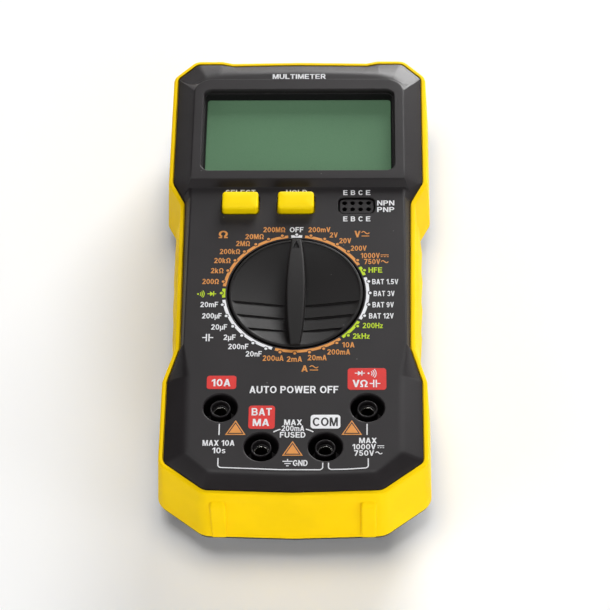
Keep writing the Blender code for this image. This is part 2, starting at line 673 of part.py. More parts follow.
def dial_mechanism():
    """Contact rotor, detent ring with a notch at each position, balls, springs and wipers."""
    rotor = piece("contact_rotor", cylinder(ROTOR_R, -3.8, 0, sides=48), WHITE,
                  (0, 0, PANEL_Z - 5.7))
    carve(rotor, cylinder(5.4, -5, 1, sides=6))
    slot_floor = -3.2
    carve(rotor, together(box((8.2, 17), (-1.7, 1.7), (slot_floor, 1)),
                          box((-17, -8.2), (-1.7, 1.7), (slot_floor, 1))))
    notches = []
    for step in range(2 * POSITIONS):
        radius = 17.0 if step % 2 else 17.5
        angle = math.pi * step / POSITIONS
        notches.append((radius * math.sin(angle), radius * math.cos(angle)))
    low, high = PANEL_Z - 9.3, PANEL_Z - 5.5
    detents = piece("detent_ring", cylinder(20.0, low, high, sides=32), WHITE)
    carve(detents, plate(notches, low - 1, high + 1))
    for name, side in (("right", 1), ("left", -1)):
        form = bmesh.new()
        bmesh.ops.create_uvsphere(form, u_segments=12, v_segments=8, radius=1.4 * MM)
        ball = piece("detent_ball_" + name, finished(form), STEEL, (side * DETENT_X, 0, DETENT_Z))
        smooth(ball)
        points = coil_points(1.1, side * 4.8, 4, "X")
        wire("detent_spring_" + name, points, 0.17, STEEL, (side * 8.7, 0, DETENT_Z))
    for index, angle in enumerate((90, 210, 330)):
        leaf = rounded([(5.9, 1.8, 0.8), (14.6, 1.8, 1.2), (14.6, -1.8, 1.2), (5.9, -1.8, 0.8)], 2)
        wiper = piece(f"wiper_contact_{index + 1}", plate(leaf, 0, 0.4), BRASS,
                      (0, 0, PANEL_Z - 10.2))
        carve(wiper, box((8.5, 16), (-0.25, 0.25), (-1, 1)))
        wiper.rotation_euler.z = math.radians(angle)


# --- inside -----------------------------------------------------------------------------------

def circuit_board():
    """The circuit board, with clearance for posts, jacks and screws."""
    board = piece("circuit_board", plate(case(-4.6), BOARD_LOW_Z, BOARD_TOP_Z), BOARD)
    holes = [cylinder(3.8, 20, 27, at, 12) for at in CASE_SCREWS]
    holes += [cylinder(2.9, 20, 27, at, 12) for at in JACKS.values()]
    holes += [cylinder(1.4, 20, 27, at, 8) for at in BOARD_SCREWS]
    carve(board, together(*holes))


def jack_sockets():
    """A brass tube for each of the four input jacks."""
    for name, at in JACKS.items():
        socket = piece("jack_socket_" + name, cylinder(2.4, 0, 17.1, sides=16), BRASS, (*at, 15.0))
        carve(socket, cylinder(1.95, 2.0, 18, sides=16))
        smooth(socket)


def board_parts():
    """What is soldered to the underside of the board."""
    low_z = BOARD_LOW_Z - GAP
    piece("buzzer", cylinder(6.0, 0, 8.2), BLACK, (14, 2, low_z - 8.2))
    piece("measuring_chip", box((-6, 6), (-6, 6), (-2, 0)), BLACK, (0, 38, low_z))
    piece("trimmer", box((-3.3, 3.3), (-3.3, 3.3), (-4.8, 0)), BLUE, (19, 38, low_z))
    piece("supply_capacitor", cylinder(3.1, -9, 0, sides=20), BLACK, (-20, 38, low_z))
    piece("range_capacitor", box((-6.5, 6.5), (-2.6, 2.6), (-9, 0)), YELLOW, (-13, 3, low_z))
    tube = piece("fuse", cylinder(2.55, -10, 10, sides=20, along="X"), GLASS, (0, -27, 18.5))
    smooth(tube)
    for name, x in (("left", -8.0), ("right", 8.0)):
        clip = [(-3.3, 16.0), (-3.3, low_z), (3.3, low_z), (3.3, 16.0),
                (2.8, 16.0), (2.8, low_z - 0.5), (-2.8, low_z - 0.5), (-2.8, 16.0)]
        piece("fuse_clip_" + name, side_plate(clip, -1.8, 1.8, "X"), STEEL, (x, -27, 0))
    shunt = smooth_path([(-7, 0, low_z), (-7, 0, 18), (-5.5, 0, 16.4), (0, 0, 16), (5.5, 0, 16.4),
                         (7, 0, 18), (7, 0, low_z)], 3)
    wire("current_shunt", shunt, 0.8, STEEL, (-8, -49, 0))


def battery():
    """Nine-volt battery, its snap connector and the two leads to the board."""
    low_z, high_z = 3.7, 20.7
    middle_z = (low_z + high_z) / 2
    block = piece("battery", box((-27.0, 19.0), (BAY_Y - 13, BAY_Y + 13), (low_z, high_z)), JACKET)
    studs = [(BAY_Y + side * 6.35, middle_z) for side in (-1, 1)]
    for stud in studs:
        carve(block, cylinder(2.9, 18.0, 21.6, stud, 16, "X"), "UNION")
    snap = piece("battery_snap", box((19.3, 23.6), (BAY_Y - 12.5, BAY_Y + 12.5),
                                     (middle_z - 6.2, middle_z + 6.2)), RUBBER)
    carve(snap, together(*[cylinder(3.3, 18, 22.2, stud, 16, "X") for stud in studs]))
    exit_y = BAY_Y - BAY_HALF[1] - 2.2
    for name, start_y, z, end_x, look in (("positive", 60.0, 14.2, 22.0, RED_WIRE),
                                          ("negative", 70.0, 11.0, 26.2, BLACK_WIRE)):
        route = [(24.6, start_y, z), (25.4, start_y - 2.5, z), (25.6, BAY_Y - 10, z),
                 (25.4, exit_y, z), (end_x + 1, exit_y - 2.4, z + 2), (end_x, exit_y - 3.6, z + 5),
                 (end_x, exit_y - 3.8, BOARD_LOW_Z - GAP)]
        wire("battery_lead_" + name, smooth_path(route), 0.6, look)


def battery_cover():
    """Battery cover, held by one screw through its ear."""
    low_z, high_z = FOOT_STANDOFF, FOOT_STANDOFF + 2.1
    cover = piece("battery_cover", plate(cover_outline(), low_z, high_z), BLACK)
    carve(cover, cylinder(1.5, 0, 5, (0, COVER_SCREW_Y), 16))
    carve(cover, cylinder(2.6, 0, low_z + 1.5, (0, COVER_SCREW_Y), 20))
    screw("battery_cover_screw", (0, COVER_SCREW_Y), low_z + 0.2, 2.3, 1.1, 1.0, 11.5)


def screw(name, at, head_z, head_r, head_height, shank_r, tip_z):
    """A pan-head screw, driven up from below, with a cross slot in its head."""
    made = piece(name, cylinder(head_r, 0, head_height, sides=16), STEEL, (*at, head_z))
    carve(made, cylinder(shank_r, head_height - 0.3, tip_z - head_z, sides=8), "UNION")
    slot = head_r * 0.65
    carve(made, box((-slot, slot), (-0.3, 0.3), (-1, head_height * 0.4)))
    carve(made, box((-0.3, 0.3), (-slot, slot), (-1, head_height * 0.4)))


def fasteners_and_feet():
    """Case screws, board screws and glued rubber feet."""
    for index, at in enumerate(CASE_SCREWS):
        screw(f"case_screw_{index + 1}", at, FOOT_STANDOFF + 0.5, 2.7, 1.8, 1.3, 27.0)
    for index, at in enumerate(BOARD_SCREWS):
        screw(f"board_screw_{index + 1}", at, BOARD_LOW_Z - GAP - 1.3, 2.1, 1.3, 0.9, 30.0)
    for index, at in enumerate(FEET):
        foot = cylinder(FOOT_R, 0, FOOT_STANDOFF + 0.5, sides=16)
        piece(f"foot_{index + 1}", foot, RUBBER, (*at, 0))


def kickstand():
    """Tilt stand, folded into the back; its pins turn in the sides of its recess."""
    length = STAND_Y[1] - STAND_Y[0]
    outline = rounded([(-STAND_X, -1.0, 0), (STAND_X, -1.0, 0), (STAND_X, -length, 4),
                       (-STAND_X, -length, 4)])
    stand = piece("kickstand", plate(outline, -1.5, 1.5), BLACK, (0, STAND_Y[1], HINGE_Z))
    carve(stand, cylinder(1.5, -STAND_X, STAND_X, (0, 0), 16, "X"), "UNION")
    carve(stand, cylinder(1.1, -28.6, 28.6, (0, 0), 12, "X"), "UNION")
    sunk = rounded([(-20, -10, 3), (20, -10, 3), (20, -length + 10, 3), (-20, -length + 10, 3)], 2)
    carve(stand, plate(sunk, -2, -0.7))
    smooth(stand)


front_shell()
rear_shell()
protective_boot()
display()
for key_name in KEY_X:
    key_and_switch(key_name)
transistor_socket()
selector_knob()
dial_mechanism()
circuit_board()
jack_sockets()
board_parts()
battery()
battery_cover()
fasteners_and_feet()
kickstand()
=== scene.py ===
"""Looks of the digital multimeter: fine shapes, finishes, print, light and camera.

All dimensions in this file are millimetres and the helpers scale them to metres. x and y are
measured from the dial's axis and z from the surface that the feet stand on.
"""
import math

import bmesh
import bpy
from mathutils import Matrix, Vector


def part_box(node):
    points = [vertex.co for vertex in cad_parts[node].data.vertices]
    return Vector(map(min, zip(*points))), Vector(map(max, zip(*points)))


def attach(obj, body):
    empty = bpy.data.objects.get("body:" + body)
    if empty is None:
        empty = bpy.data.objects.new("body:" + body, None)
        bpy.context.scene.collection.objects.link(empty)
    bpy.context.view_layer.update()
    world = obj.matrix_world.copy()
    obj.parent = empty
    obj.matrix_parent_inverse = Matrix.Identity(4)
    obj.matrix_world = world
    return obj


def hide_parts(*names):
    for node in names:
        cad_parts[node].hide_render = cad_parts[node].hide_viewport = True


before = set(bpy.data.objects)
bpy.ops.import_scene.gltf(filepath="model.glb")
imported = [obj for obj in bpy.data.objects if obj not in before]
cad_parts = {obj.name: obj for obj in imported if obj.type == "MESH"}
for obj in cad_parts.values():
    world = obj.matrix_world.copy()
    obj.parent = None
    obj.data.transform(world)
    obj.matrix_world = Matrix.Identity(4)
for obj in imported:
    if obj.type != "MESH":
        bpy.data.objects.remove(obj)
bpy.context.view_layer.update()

MM = 0.001
CURVE_STEPS = 6  # straight pieces in each rounded corner

case_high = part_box("front_shell")[1]
knob_low, knob_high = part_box("selector_knob")
DIAL = Vector(((knob_low.x + knob_high.x) / 2, (knob_low.y + knob_high.y) / 2, 0.0))

# Heights above the table
BLOCK_Z = case_high.z / MM
PANEL_Z = BLOCK_Z - 2.3
RIM_Z = PANEL_Z - 3.0
LIP_Z = RIM_Z - 1.0
BOOT_LOW_Z = PANEL_Z - 25.0
SPLIT_Z = 20.0
FOOT_STANDOFF = 1.2
BOARD_TOP_Z = PANEL_Z - 10.5
PANEL_THICK = 2.2
WALL = 2.0
GAP = 0.3

# The case seen from the front: right-hand corners from the top middle to the bottom middle
CASE_HALF = [
    (0, 97.6, 0), (22.5, 97.2, 4), (26.0, 98.1, 4), (34.0, 98.1, 2.5), (40.2, 91.6, 2.5),
    (40.2, 47.0, 2), (36.2, 38.7, 4), (35.5, -19.2, 4), (39.0, -31.8, 4), (39.0, -61.0, 3),
    (26.5, -70.9, 4), (0, -71.8, 0),
]
# The flat panel inside the sloping border, with one corner for each corner of the case
PANEL_HALF = [
    (0, 92.3, 0), (20.5, 91.7, 6), (26.4, 91.3, 6), (31.0, 89.8, 2), (35.6, 85.5, 2),
    (34.8, 47.0, 4), (34.3, 38.7, 6), (34.3, -19.2, 6), (32.9, -31.8, 6), (32.4, -59.6, 2),
    (25.2, -66.4, 3), (0, -67.4, 0),
]
BOOT_OUT = 1.6  # the boot's wall outside the case, at its rim
BOOT_FLARE = 1.2  # how much further out the wall stands at its foot
SHELL_IN = 1.0  # the shells inside the case's lip
# Finger grip on the right of the boot: (x, y, corner radius), then back inside the boot's wall
GRIP = [
    (37.2, 37.5, 0), (38.6, 34.0, 2), (39.0, 33.0, 1), (38.6, 22.8, .8), (39.0, 21.6, .8),
    (38.4, 11.3, .8), (38.8, 10.1, .8), (38.2, -0.2, .8), (38.5, -1.4, .8), (37.9, -11.7, .8),
    (38.2, -12.9, .8), (37.6, -23.0, 1.5), (36.4, -25.0, 0), (36.4, 37.5, 0),
]
GRIP_WALL_X = 36.5  # grip points beyond this stand outside the boot's wall
RIB_X = 22.6
RIB_WIDTH = 4.8
RIB_FOOT_Y = -74.0

# Display
BLOCK_X = 34.3
BLOCK_LOW_Y = 44.5
BLOCK_TOP_Y = 86.8
STEP_FOOT_Y = 42.7
WINDOW_X = 31.1
WINDOW_Y = (48.1, 82.3)
WINDOW_MIDDLE = (0.0, sum(WINDOW_Y) / 2)
LEDGE = 0.5
LEDGE_DEPTH = 1.9
DISPLAY_Y = 65.2
GLASS_SIZE = (63.4, 35.6)
GLASS_TOP_Z = PANEL_Z - 2.0

# Dial
KNOB_R = 20.95
WELL_R = 21.4
WELL_DEPTH = 3.4
HUB_HOLE_R = 8.0
BLADE_HALF = 3.0
BLADE_END_HALF = 1.6
BLADE_LENGTH = 41.2
DISH_R = 20.15
DISH_DEPTH = 2.8
LOUVRE_PITCH = 5.25
LOUVRE_FIRST_Y = -2.8
LOUVRE_DEPTH = 0.42
POSITIONS = 32

# Keys, transistor socket and input jacks
KEY_Y = 35.4
KEY_SIZE = (11.5, 7.05)
KEY_RISE = 2.9
KEY_X = {"select": -18.15, "hold": -0.4}
SOCKET_AT = (18.95, 35.05)
SOCKET_SIZE = (11.1, 6.2)
PIN_PITCH = 2.54
JACKS = {"10a": (-22.25, -43.4), "ma": (-9.6, -57.6), "com": (9.6, -57.6), "volt": (22.25, -43.4)}
JACK_WELL_R = 5.15
JACK_POST_R = 3.1
JACK_BORE_R = 2.1
JACK_TUBE_R = 6.5
JACK_DEPTH = 9.2

# Back of the case
BACK_IN = 6.5
STAND_X = 26.0
STAND_Y = (-46.0, 43.0)
HINGE_Z = 3.1
STAND_RECESS_Z = 5.2
BAY_Y = 66.5
BAY_HALF = (27.4, 13.8)
BAY_CEILING_Z = 21.2
COVER_HALF = (29.4, 16.4)
COVER_SCREW_Y = 86.0
CASE_SCREWS = [(29.4, 87.9), (-29.4, 87.9), (28.5, -55.0), (-28.5, -55.0)]
CASE_BORE_R = 1.6  # holes that the case screws pass through
BOARD_SCREWS = [(27.0, 23.0), (-27.0, 23.0), (27.0, -22.0), (-27.0, -22.0)]
FEET = [(16.0, 87.6), (-16.0, 87.6), (17.0, -60.6), (-17.0, -60.6)]
FOOT_R = 3.6


# --- outlines ---------------------------------------------------------------------------------

def mirrored(half):
    """A closed outline from its right half, in which corners at x = 0 aren't repeated."""
    return half + [(-x, y, radius) for x, y, radius in reversed(half) if x > 0]


def rounded(corners, steps=CURVE_STEPS):
    """Points round the corners (x, y, radius) of a closed outline."""
    points = []
    for index, (x, y, radius) in enumerate(corners):
        if radius == 0:
            points.append((x, y))
            continue
        corner = Vector((x, y))
        back = (Vector(corners[index - 1][:2]) - corner).normalized()
        ahead = (Vector(corners[(index + 1) % len(corners)][:2]) - corner).normalized()
        half_angle = back.angle(ahead) / 2
        centre = corner + (back + ahead).normalized() * radius / math.sin(half_angle)
        start = corner + back * radius / math.tan(half_angle) - centre
        end = corner + ahead * radius / math.tan(half_angle) - centre
        for step in range(steps + 1):
            spoke = start.lerp(end, step / steps).normalized() * radius
            points.append(tuple(centre + spoke))
    return points


def grown(corners, by):
    """Clockwise corners (x, y, radius) moved outwards by a distance, with concentric rounding."""
    moved = []
    for index, (x, y, radius) in enumerate(corners):
        here = Vector((x, y))
        into = (here - Vector(corners[index - 1][:2])).normalized()
        out = (Vector(corners[(index + 1) % len(corners)][:2]) - here).normalized()
        bulges = into.x * out.y - into.y * out.x < 0
        if radius > 0:
            radius = max(0.8, radius + by if bulges else radius - by)
        left_of_in = Vector((-into.y, into.x))
        sideways = (left_of_in + Vector((-out.y, out.x))).normalized()
        moved.append((*(here + sideways * by / sideways.dot(left_of_in)), radius))
    return moved


def case(by=0.0):
    """The outline of the case at its lip, moved outwards by a distance."""
    return rounded(grown(mirrored(CASE_HALF), by))


def panel(by=0.0):
    """The outline of the flat panel, moved outwards by a distance."""
    return rounded(grown(mirrored(PANEL_HALF), by))


def between(first, second, share):
    """An outline part of the way from one outline to another, or beyond it."""
    return [(a + (c - a) * share, b + (d - b) * share)
            for (a, b), (c, d) in zip(first, second)]


def rectangle(width, height, radius=0.0, centre=(0.0, 0.0), steps=CURVE_STEPS):
    """A rectangle with rounded corners."""
    x, y = centre
    corners = [(-1, 1), (1, 1), (1, -1), (-1, -1)]
    return rounded([(x + i * width / 2, y + j * height / 2, radius) for i, j in corners], steps)


def circle(radius, sides=64, centre=(0.0, 0.0)):
    """A regular outline of the given radius."""
    turns = [math.tau * index / sides for index in range(sides)]
    return [(centre[0] + radius * math.sin(a), centre[1] + radius * math.cos(a)) for a in turns]


# --- solids -----------------------------------------------------------------------------------

def at_height(outline, z):
    """An outline's points with one height."""
    return [(x, y, z) for x, y in outline]


def finished(form):
    """A mesh from a bmesh, in millimetres, with its faces pointing out."""
    bmesh.ops.recalc_face_normals(form, faces=form.faces)
    if form.calc_volume(signed=True) < 0:
        bmesh.ops.reverse_faces(form, faces=form.faces)
    mesh = bpy.data.meshes.new("solid")
    form.to_mesh(mesh)
    form.free()
    return mesh


def loft(sections):
    """A closed solid through rings of points, or through (outline, height) pairs."""
    form = bmesh.new()
    rings = []
    for section in sections:
        if isinstance(section, tuple):
            section = at_height(*section)
        rings.append([form.verts.new(point) for point in section])
    for low, high in zip(rings, rings[1:]):
        for index in range(len(low)):
            form.faces.new((low[index - 1], low[index], high[index], high[index - 1]))
    caps = [form.faces.new(rings[0]), form.faces.new(rings[-1])]
    bmesh.ops.triangulate(form, faces=caps)
    return finished(form)


def plate(outline, low, high):
    """A flat outline with a thickness, from low to high."""
    return loft([(outline, low), (outline, high)])


def turned(profile, at=(0.0, 0.0), sides=64, along="Z"):
    """A solid of revolution from (radius, height) points that begin and end on the axis."""
    form = bmesh.new()

    def spot(radius, angle, z):
        x, y = radius * math.sin(angle), radius * math.cos(angle)
        return (at[0] + x, at[1] + y, z) if along == "Z" else (z, at[0] + x, at[1] + y)
    tip_low = form.verts.new(spot(0, 0, profile[0][1]))
    tip_high = form.verts.new(spot(0, 0, profile[-1][1]))
    rings = []
    for radius, z in profile[1:-1]:
        rings.append([form.verts.new(spot(radius, math.tau * index / sides, z))
                      for index in range(sides)])
    for index in range(sides):
        form.faces.new((tip_low, rings[0][index - 1], rings[0][index]))
        form.faces.new((tip_high, rings[-1][index], rings[-1][index - 1]))
        for low, high in zip(rings, rings[1:]):
            form.faces.new((low[index - 1], low[index], high[index], high[index - 1]))
    return finished(form)


def cylinder(radius, low, high, at=(0.0, 0.0), sides=48, along="Z"):
    """A cylinder from low to high."""
    return turned([(0, low), (radius, low), (radius, high), (0, high)], at, sides, along)


def box(x, y, z):
    """A box from its three ranges."""
    outline = [(x[0], y[0]), (x[0], y[1]), (x[1], y[1]), (x[1], y[0])]
    return plate(outline, *z)


def lifted(z, profile):
    """The (radius, height) points of a profile whose heights are measured from z."""
    return [(radius, z + height) for radius, height in profile]


def softened(outline_at, z, inset, rise):
    """The sections of a quarter-round edge that starts at z, as (outline, height) pairs."""
    steps = 5
    turns = [math.pi / 2 * step / steps for step in range(1, steps + 1)]
    return [(outline_at(-inset * (1 - math.cos(turn))), z + rise * math.sin(turn))
            for turn in turns]


def ring(outer, inner, low, high, at):
    """A tube from low to high."""
    form = bmesh.new()
    rings = []
    for radius, z in [(outer, high), (outer, low), (inner, low), (inner, high)]:
        rings.append([form.verts.new((x, y, z)) for x, y in circle(radius, centre=at)])
    for first, second in zip(rings, rings[1:] + rings[:1]):
        for index in range(len(first)):
            form.faces.new((first[index - 1], first[index], second[index], second[index - 1]))
    return finished(form)


def together(*meshes):
    """Several solids in one mesh."""
    form = bmesh.new()
    for mesh in meshes:
        form.from_mesh(mesh)
    return finished(form)


def combine(first, operation, second):
    """The result of a Boolean operation on two solids."""
    holders = [bpy.data.objects.new("solid", mesh) for mesh in (first, second)]
    for holder in holders:
        bpy.context.scene.collection.objects.link(holder)
    boolean = holders[0].modifiers.new("join", "BOOLEAN")
    boolean.operation = operation
    boolean.solver = "EXACT"
    boolean.object = holders[1]
    graph = bpy.context.evaluated_depsgraph_get()
    mesh = bpy.data.meshes.new_from_object(holders[0].evaluated_get(graph))
    for holder in holders:
        bpy.data.objects.remove(holder)
    form = bmesh.new()
    form.from_mesh(mesh)
    bmesh.ops.remove_doubles(form, verts=form.verts, dist=0.0005)
    bmesh.ops.dissolve_degenerate(form, edges=form.edges, dist=0.0005)
    form.to_mesh(mesh)
    form.free()
    return mesh


def cut(mesh, *tools):
    """A solid with others cut out of it."""
    for tool in tools:
        mesh = combine(mesh, "DIFFERENCE", tool)
    return mesh


def join(mesh, *tools):
    """A solid with others joined on."""
    for tool in tools:
        mesh = combine(mesh, "UNION", tool)
    return mesh


def placed(mesh):
    """Move a mesh from this file's millimetres to its place in the frame."""
    mesh.transform(Matrix.Translation(DIAL) @ Matrix.Scale(MM, 4))


def piece(name, mesh, look, body, nodes, angle=32.0):
    """A visible piece that stands for CAD nodes and rides on a body."""
    placed(mesh)
    mesh.name = name
    mesh.materials.clear()
    mesh.materials.append(look)
    made = bpy.data.objects.new(name, mesh)
    bpy.context.scene.collection.objects.link(made)
    mesh.shade_smooth()
    mesh.set_sharp_from_angle(angle=math.radians(angle))
    weighted = made.modifiers.new("weighted", "WEIGHTED_NORMAL")
    weighted.keep_sharp = True
    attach(made, body)
    if nodes:
        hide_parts(*nodes)
    return made


# --- finishes ---------------------------------------------------------------------------------

NOISE_RANGE = (0.3, 0.7)  # the part of a noise texture's range that is used
MIX_UNDER, MIX_OVER, MIX_RESULT = 6, 7, 2  # a mix node's sockets for colours
DUST = (0.35, 0.34, 0.33)
SPECK_SCALE = 260.0
SPECK_SHARE = 0.82  # specks show where a random value is above this
SOFT_EDGE = 0.2
GRAIN_HEIGHT = 0.03


def link(tree, source, output, target, entry):
    """Join one node's output to another's input."""
    tree.links.new(source.outputs[output], target.inputs[entry])


def noise(tree, place, scale, detail):
    """A noise texture in the object's own coordinates."""
    made = tree.nodes.new("ShaderNodeTexNoise")
    made.inputs["Scale"].default_value = scale
    made.inputs["Detail"].default_value = detail
    link(tree, place, "Object", made, "Vector")
    return made


def ranged(tree, source, output, before, after, smooth=False):
    """A value carried from one (start, end) range to another."""
    made = tree.nodes.new("ShaderNodeMapRange")
    if smooth:
        made.interpolation_type = "SMOOTHSTEP"
    for entry, value in zip(("From Min", "From Max", "To Min", "To Max"), (*before, *after)):
        made.inputs[entry].default_value = value
    link(tree, source, output, made, "Value")
    return made


def product(tree, first, second):
    """Two values multiplied, each given as a node and its output."""
    made = tree.nodes.new("ShaderNodeMath")
    made.operation = "MULTIPLY"
    link(tree, *first, made, 0)
    link(tree, *second, made, 1)
    return made


def laid_over(tree, amount, under, colour):
    """A colour laid over another; the amount and the colour under it are node outputs."""
    made = tree.nodes.new("ShaderNodeMix")
    made.data_type = "RGBA"
    link(tree, *amount, made, "Factor")
    link(tree, *under, made, MIX_UNDER)
    made.inputs[MIX_OVER].default_value = (*colour, 1.0)
    return made, MIX_RESULT


def finish(name, colour, roughness, metallic=0.0, specular=0.5, grain=2600.0, bump=0.2,
           mottle=60.0, vary=0.05, scatter=0.07, edge_wear_and_highlight=0.0, alpha=1.0, specks=0.0):
    """A finish with mottled colour, fine grain, soft edges and, where asked, dust and lighter edges
    that are partly wear and partly a painted highlight.
    """
    made = bpy.data.materials.new(name)
    made.use_nodes = True
    tree = made.node_tree
    shader = tree.nodes["Principled BSDF"]
    shader.inputs["Metallic"].default_value = metallic
    shader.inputs["Specular IOR Level"].default_value = specular
    shader.inputs["Alpha"].default_value = alpha
    place = tree.nodes.new("ShaderNodeTexCoord")

    broad = noise(tree, place, mottle, 4.0)
    strength = ranged(tree, broad, "Fac", NOISE_RANGE, (1 - vary, 1 + vary))
    tint = tree.nodes.new("ShaderNodeHueSaturation")
    tint.inputs["Color"].default_value = (*colour, 1.0)
    link(tree, strength, "Result", tint, "Value")
    shade = (tint, "Color")

    fine = noise(tree, place, grain, 3.0)
    gloss = ranged(tree, fine, "Fac", NOISE_RANGE,
                   (max(0.02, roughness - scatter), roughness + scatter))
    link(tree, gloss, "Result", shader, "Roughness")

    soft = tree.nodes.new("ShaderNodeBevel")
    soft.samples = 4
    soft.inputs["Radius"].default_value = SOFT_EDGE * MM
    # Lighter colour along edges: partly edge wear, partly a painted edge highlight.
    if edge_wear_and_highlight > 0:
        surface = tree.nodes.new("ShaderNodeNewGeometry")
        turn = tree.nodes.new("ShaderNodeVectorMath")
        turn.operation = "DOT_PRODUCT"
        link(tree, soft, "Normal", turn, 0)
        link(tree, surface, "Normal", turn, 1)
        worn_and_highlit_edges = ranged(tree, turn, "Value", (0.99, 0.8), (0.0, edge_wear_and_highlight))
        shade = laid_over(tree, (worn_and_highlit_edges, "Result"), shade,
                          [0.2 + 0.8 * value for value in colour])
    if specks > 0:
        dots = tree.nodes.new("ShaderNodeTexVoronoi")
        dots.inputs["Scale"].default_value = SPECK_SCALE
        link(tree, place, "Object", dots, "Vector")
        dust = ranged(tree, dots, "Distance", (0.075, 0.03), (0.0, specks))
        chance = tree.nodes.new("ShaderNodeSeparateColor")
        link(tree, dots, "Color", chance, "Color")
        some = tree.nodes.new("ShaderNodeMath")
        some.operation = "GREATER_THAN"
        some.inputs[1].default_value = SPECK_SHARE
        link(tree, chance, "Red", some, 0)
        amount = product(tree, (dust, "Result"), (some, "Value"))
        shade = laid_over(tree, (amount, "Value"), shade, DUST)
    link(tree, *shade, shader, "Base Color")

    relief = tree.nodes.new("ShaderNodeBump")
    relief.inputs["Strength"].default_value = bump
    relief.inputs["Distance"].default_value = GRAIN_HEIGHT * MM
    link(tree, fine, "Fac", relief, "Height")
    link(tree, soft, "Normal", relief, "Normal")
    link(tree, relief, "Normal", shader, "Normal")
    return made


def ink_finish(name, colour, roughness=0.55, vary=0.06):
    """A printed ink."""
    return finish(name + "_ink", colour, roughness, specular=0.3, vary=vary, mottle=400.0)


BLACK = finish("black_plastic", (0.0135, 0.011, 0.0122), 0.46, specular=0.3, vary=0.12, edge_wear_and_highlight=0.12,
               specks=0.3)
# Very dark matt black for the window liner, which paints the shade inside the window.
SHADE_BLACK = finish("shade_black", (0.006, 0.005, 0.006), 0.8, specular=0.1, vary=0.2)
KNOB_BLACK = finish("knob_plastic", (0.007, 0.0058, 0.0058), 0.52, specular=0.2, vary=0.1,
                    edge_wear_and_highlight=0.15, specks=0.2)
YELLOW = finish("yellow_rubber", (0.97, 0.64, 0.0), 0.55, specular=0.06, vary=0.04, edge_wear_and_highlight=0.05,
                grain=3200.0)
KEY_YELLOW = finish("key_plastic", (0.98, 0.7, 0.0), 0.42, specular=0.1, vary=0.03, edge_wear_and_highlight=0.08)
CLEAR = finish("clear_acrylic", (0.02, 0.024, 0.02), 0.08, alpha=0.08, bump=0.02, scatter=0.03,
               specular=0.3)
LCD = finish("display_glass", (0.15, 0.295, 0.168), 0.3, specular=0.2, vary=0.05, mottle=25.0,
             bump=0.03)
BOARD = finish("board_laminate", (0.02, 0.16, 0.07), 0.45, mottle=300.0, vary=0.12, grain=1200.0)
BRASS = finish("brass", (0.72, 0.5, 0.2), 0.3, metallic=1.0, edge_wear_and_highlight=0.1)
PLATED = finish("plated_brass", (0.85, 0.83, 0.78), 0.22, metallic=1.0, bump=0.05, edge_wear_and_highlight=0.1)
TARNISHED = finish("tarnished_brass", (0.09, 0.075, 0.05), 0.5, metallic=1.0, vary=0.2)
STEEL = finish("zinc_steel", (0.6, 0.6, 0.58), 0.3, metallic=1.0, vary=0.1, edge_wear_and_highlight=0.15)
RUBBER = finish("black_rubber", (0.02, 0.02, 0.02), 0.8, vary=0.15, bump=0.4)
GREY_RUBBER = finish("contact_rubber", (0.25, 0.25, 0.27), 0.7)
WHITE = finish("white_plastic", (0.75, 0.74, 0.7), 0.5, edge_wear_and_highlight=0.1)
FUSE_GLASS = finish("fuse_glass", (0.85, 0.88, 0.86), 0.08, alpha=0.4, bump=0.02, scatter=0.02)
JACKET = finish("battery_jacket", (0.06, 0.09, 0.16), 0.35, vary=0.1, edge_wear_and_highlight=0.2)
RED_WIRE = finish("red_insulation", (0.55, 0.02, 0.02), 0.5)
BLACK_WIRE = finish("black_insulation", (0.02, 0.02, 0.02), 0.5)
BLUE = finish("blue_plastic", (0.03, 0.12, 0.45), 0.4, edge_wear_and_highlight=0.1)
FILM = finish("film_capacitor", (0.75, 0.5, 0.05), 0.4, edge_wear_and_highlight=0.1)
INKS = {
    "white": ink_finish("white", (0.8, 0.8, 0.82)),
    "orange": ink_finish("orange", (0.7, 0.28, 0.06)),
    "lime": ink_finish("lime", (0.5, 0.67, 0.01)),
    "red": ink_finish("red", (0.66, 0.03, 0.025), 0.5, 0.05),
    "dark": ink_finish("dark", (0.03, 0.028, 0.03)),
}


# --- case -------------------------------------------------------------------------------------

def flared(outline_at, low, top, flare=0.25):
    """A cutter that opens out a little where it leaves a surface."""
    return loft([(outline_at(0), low), (outline_at(0), top - flare), (outline_at(flare), top),
                 (outline_at(flare), top + 1)])


def block_outline(share):
    """The raised display block: 0 is its foot on the rim of the case, and 1 its flat top."""
    drop = BLOCK_Z - RIM_Z
    step_run = (BLOCK_LOW_Y - STEP_FOOT_Y) * drop / (BLOCK_Z - PANEL_Z)
    foot_x, foot_y, radius = 40.15, 91.5, 5.5
    low = [(37.0, BLOCK_LOW_Y - step_run), (foot_x, 47.0), (foot_x, foot_y)]
    high = [(BLOCK_X, BLOCK_LOW_Y), (BLOCK_X, 47.5), (BLOCK_X, BLOCK_TOP_Y - radius)]
    corner_x, corner_y = BLOCK_X - radius, BLOCK_TOP_Y - radius
    steps = 12
    for step in range(1, steps + 1):
        angle = math.pi / 2 * step / steps
        high.append((corner_x + radius * math.cos(angle), corner_y + radius * math.sin(angle)))
        low.append((foot_x + (corner_x - foot_x) * step / steps,
                    foot_y + (BLOCK_TOP_Y - foot_y) * step / steps))
    half = between(low, high, share)
    return half + [(-x, y) for x, y in reversed(half)]


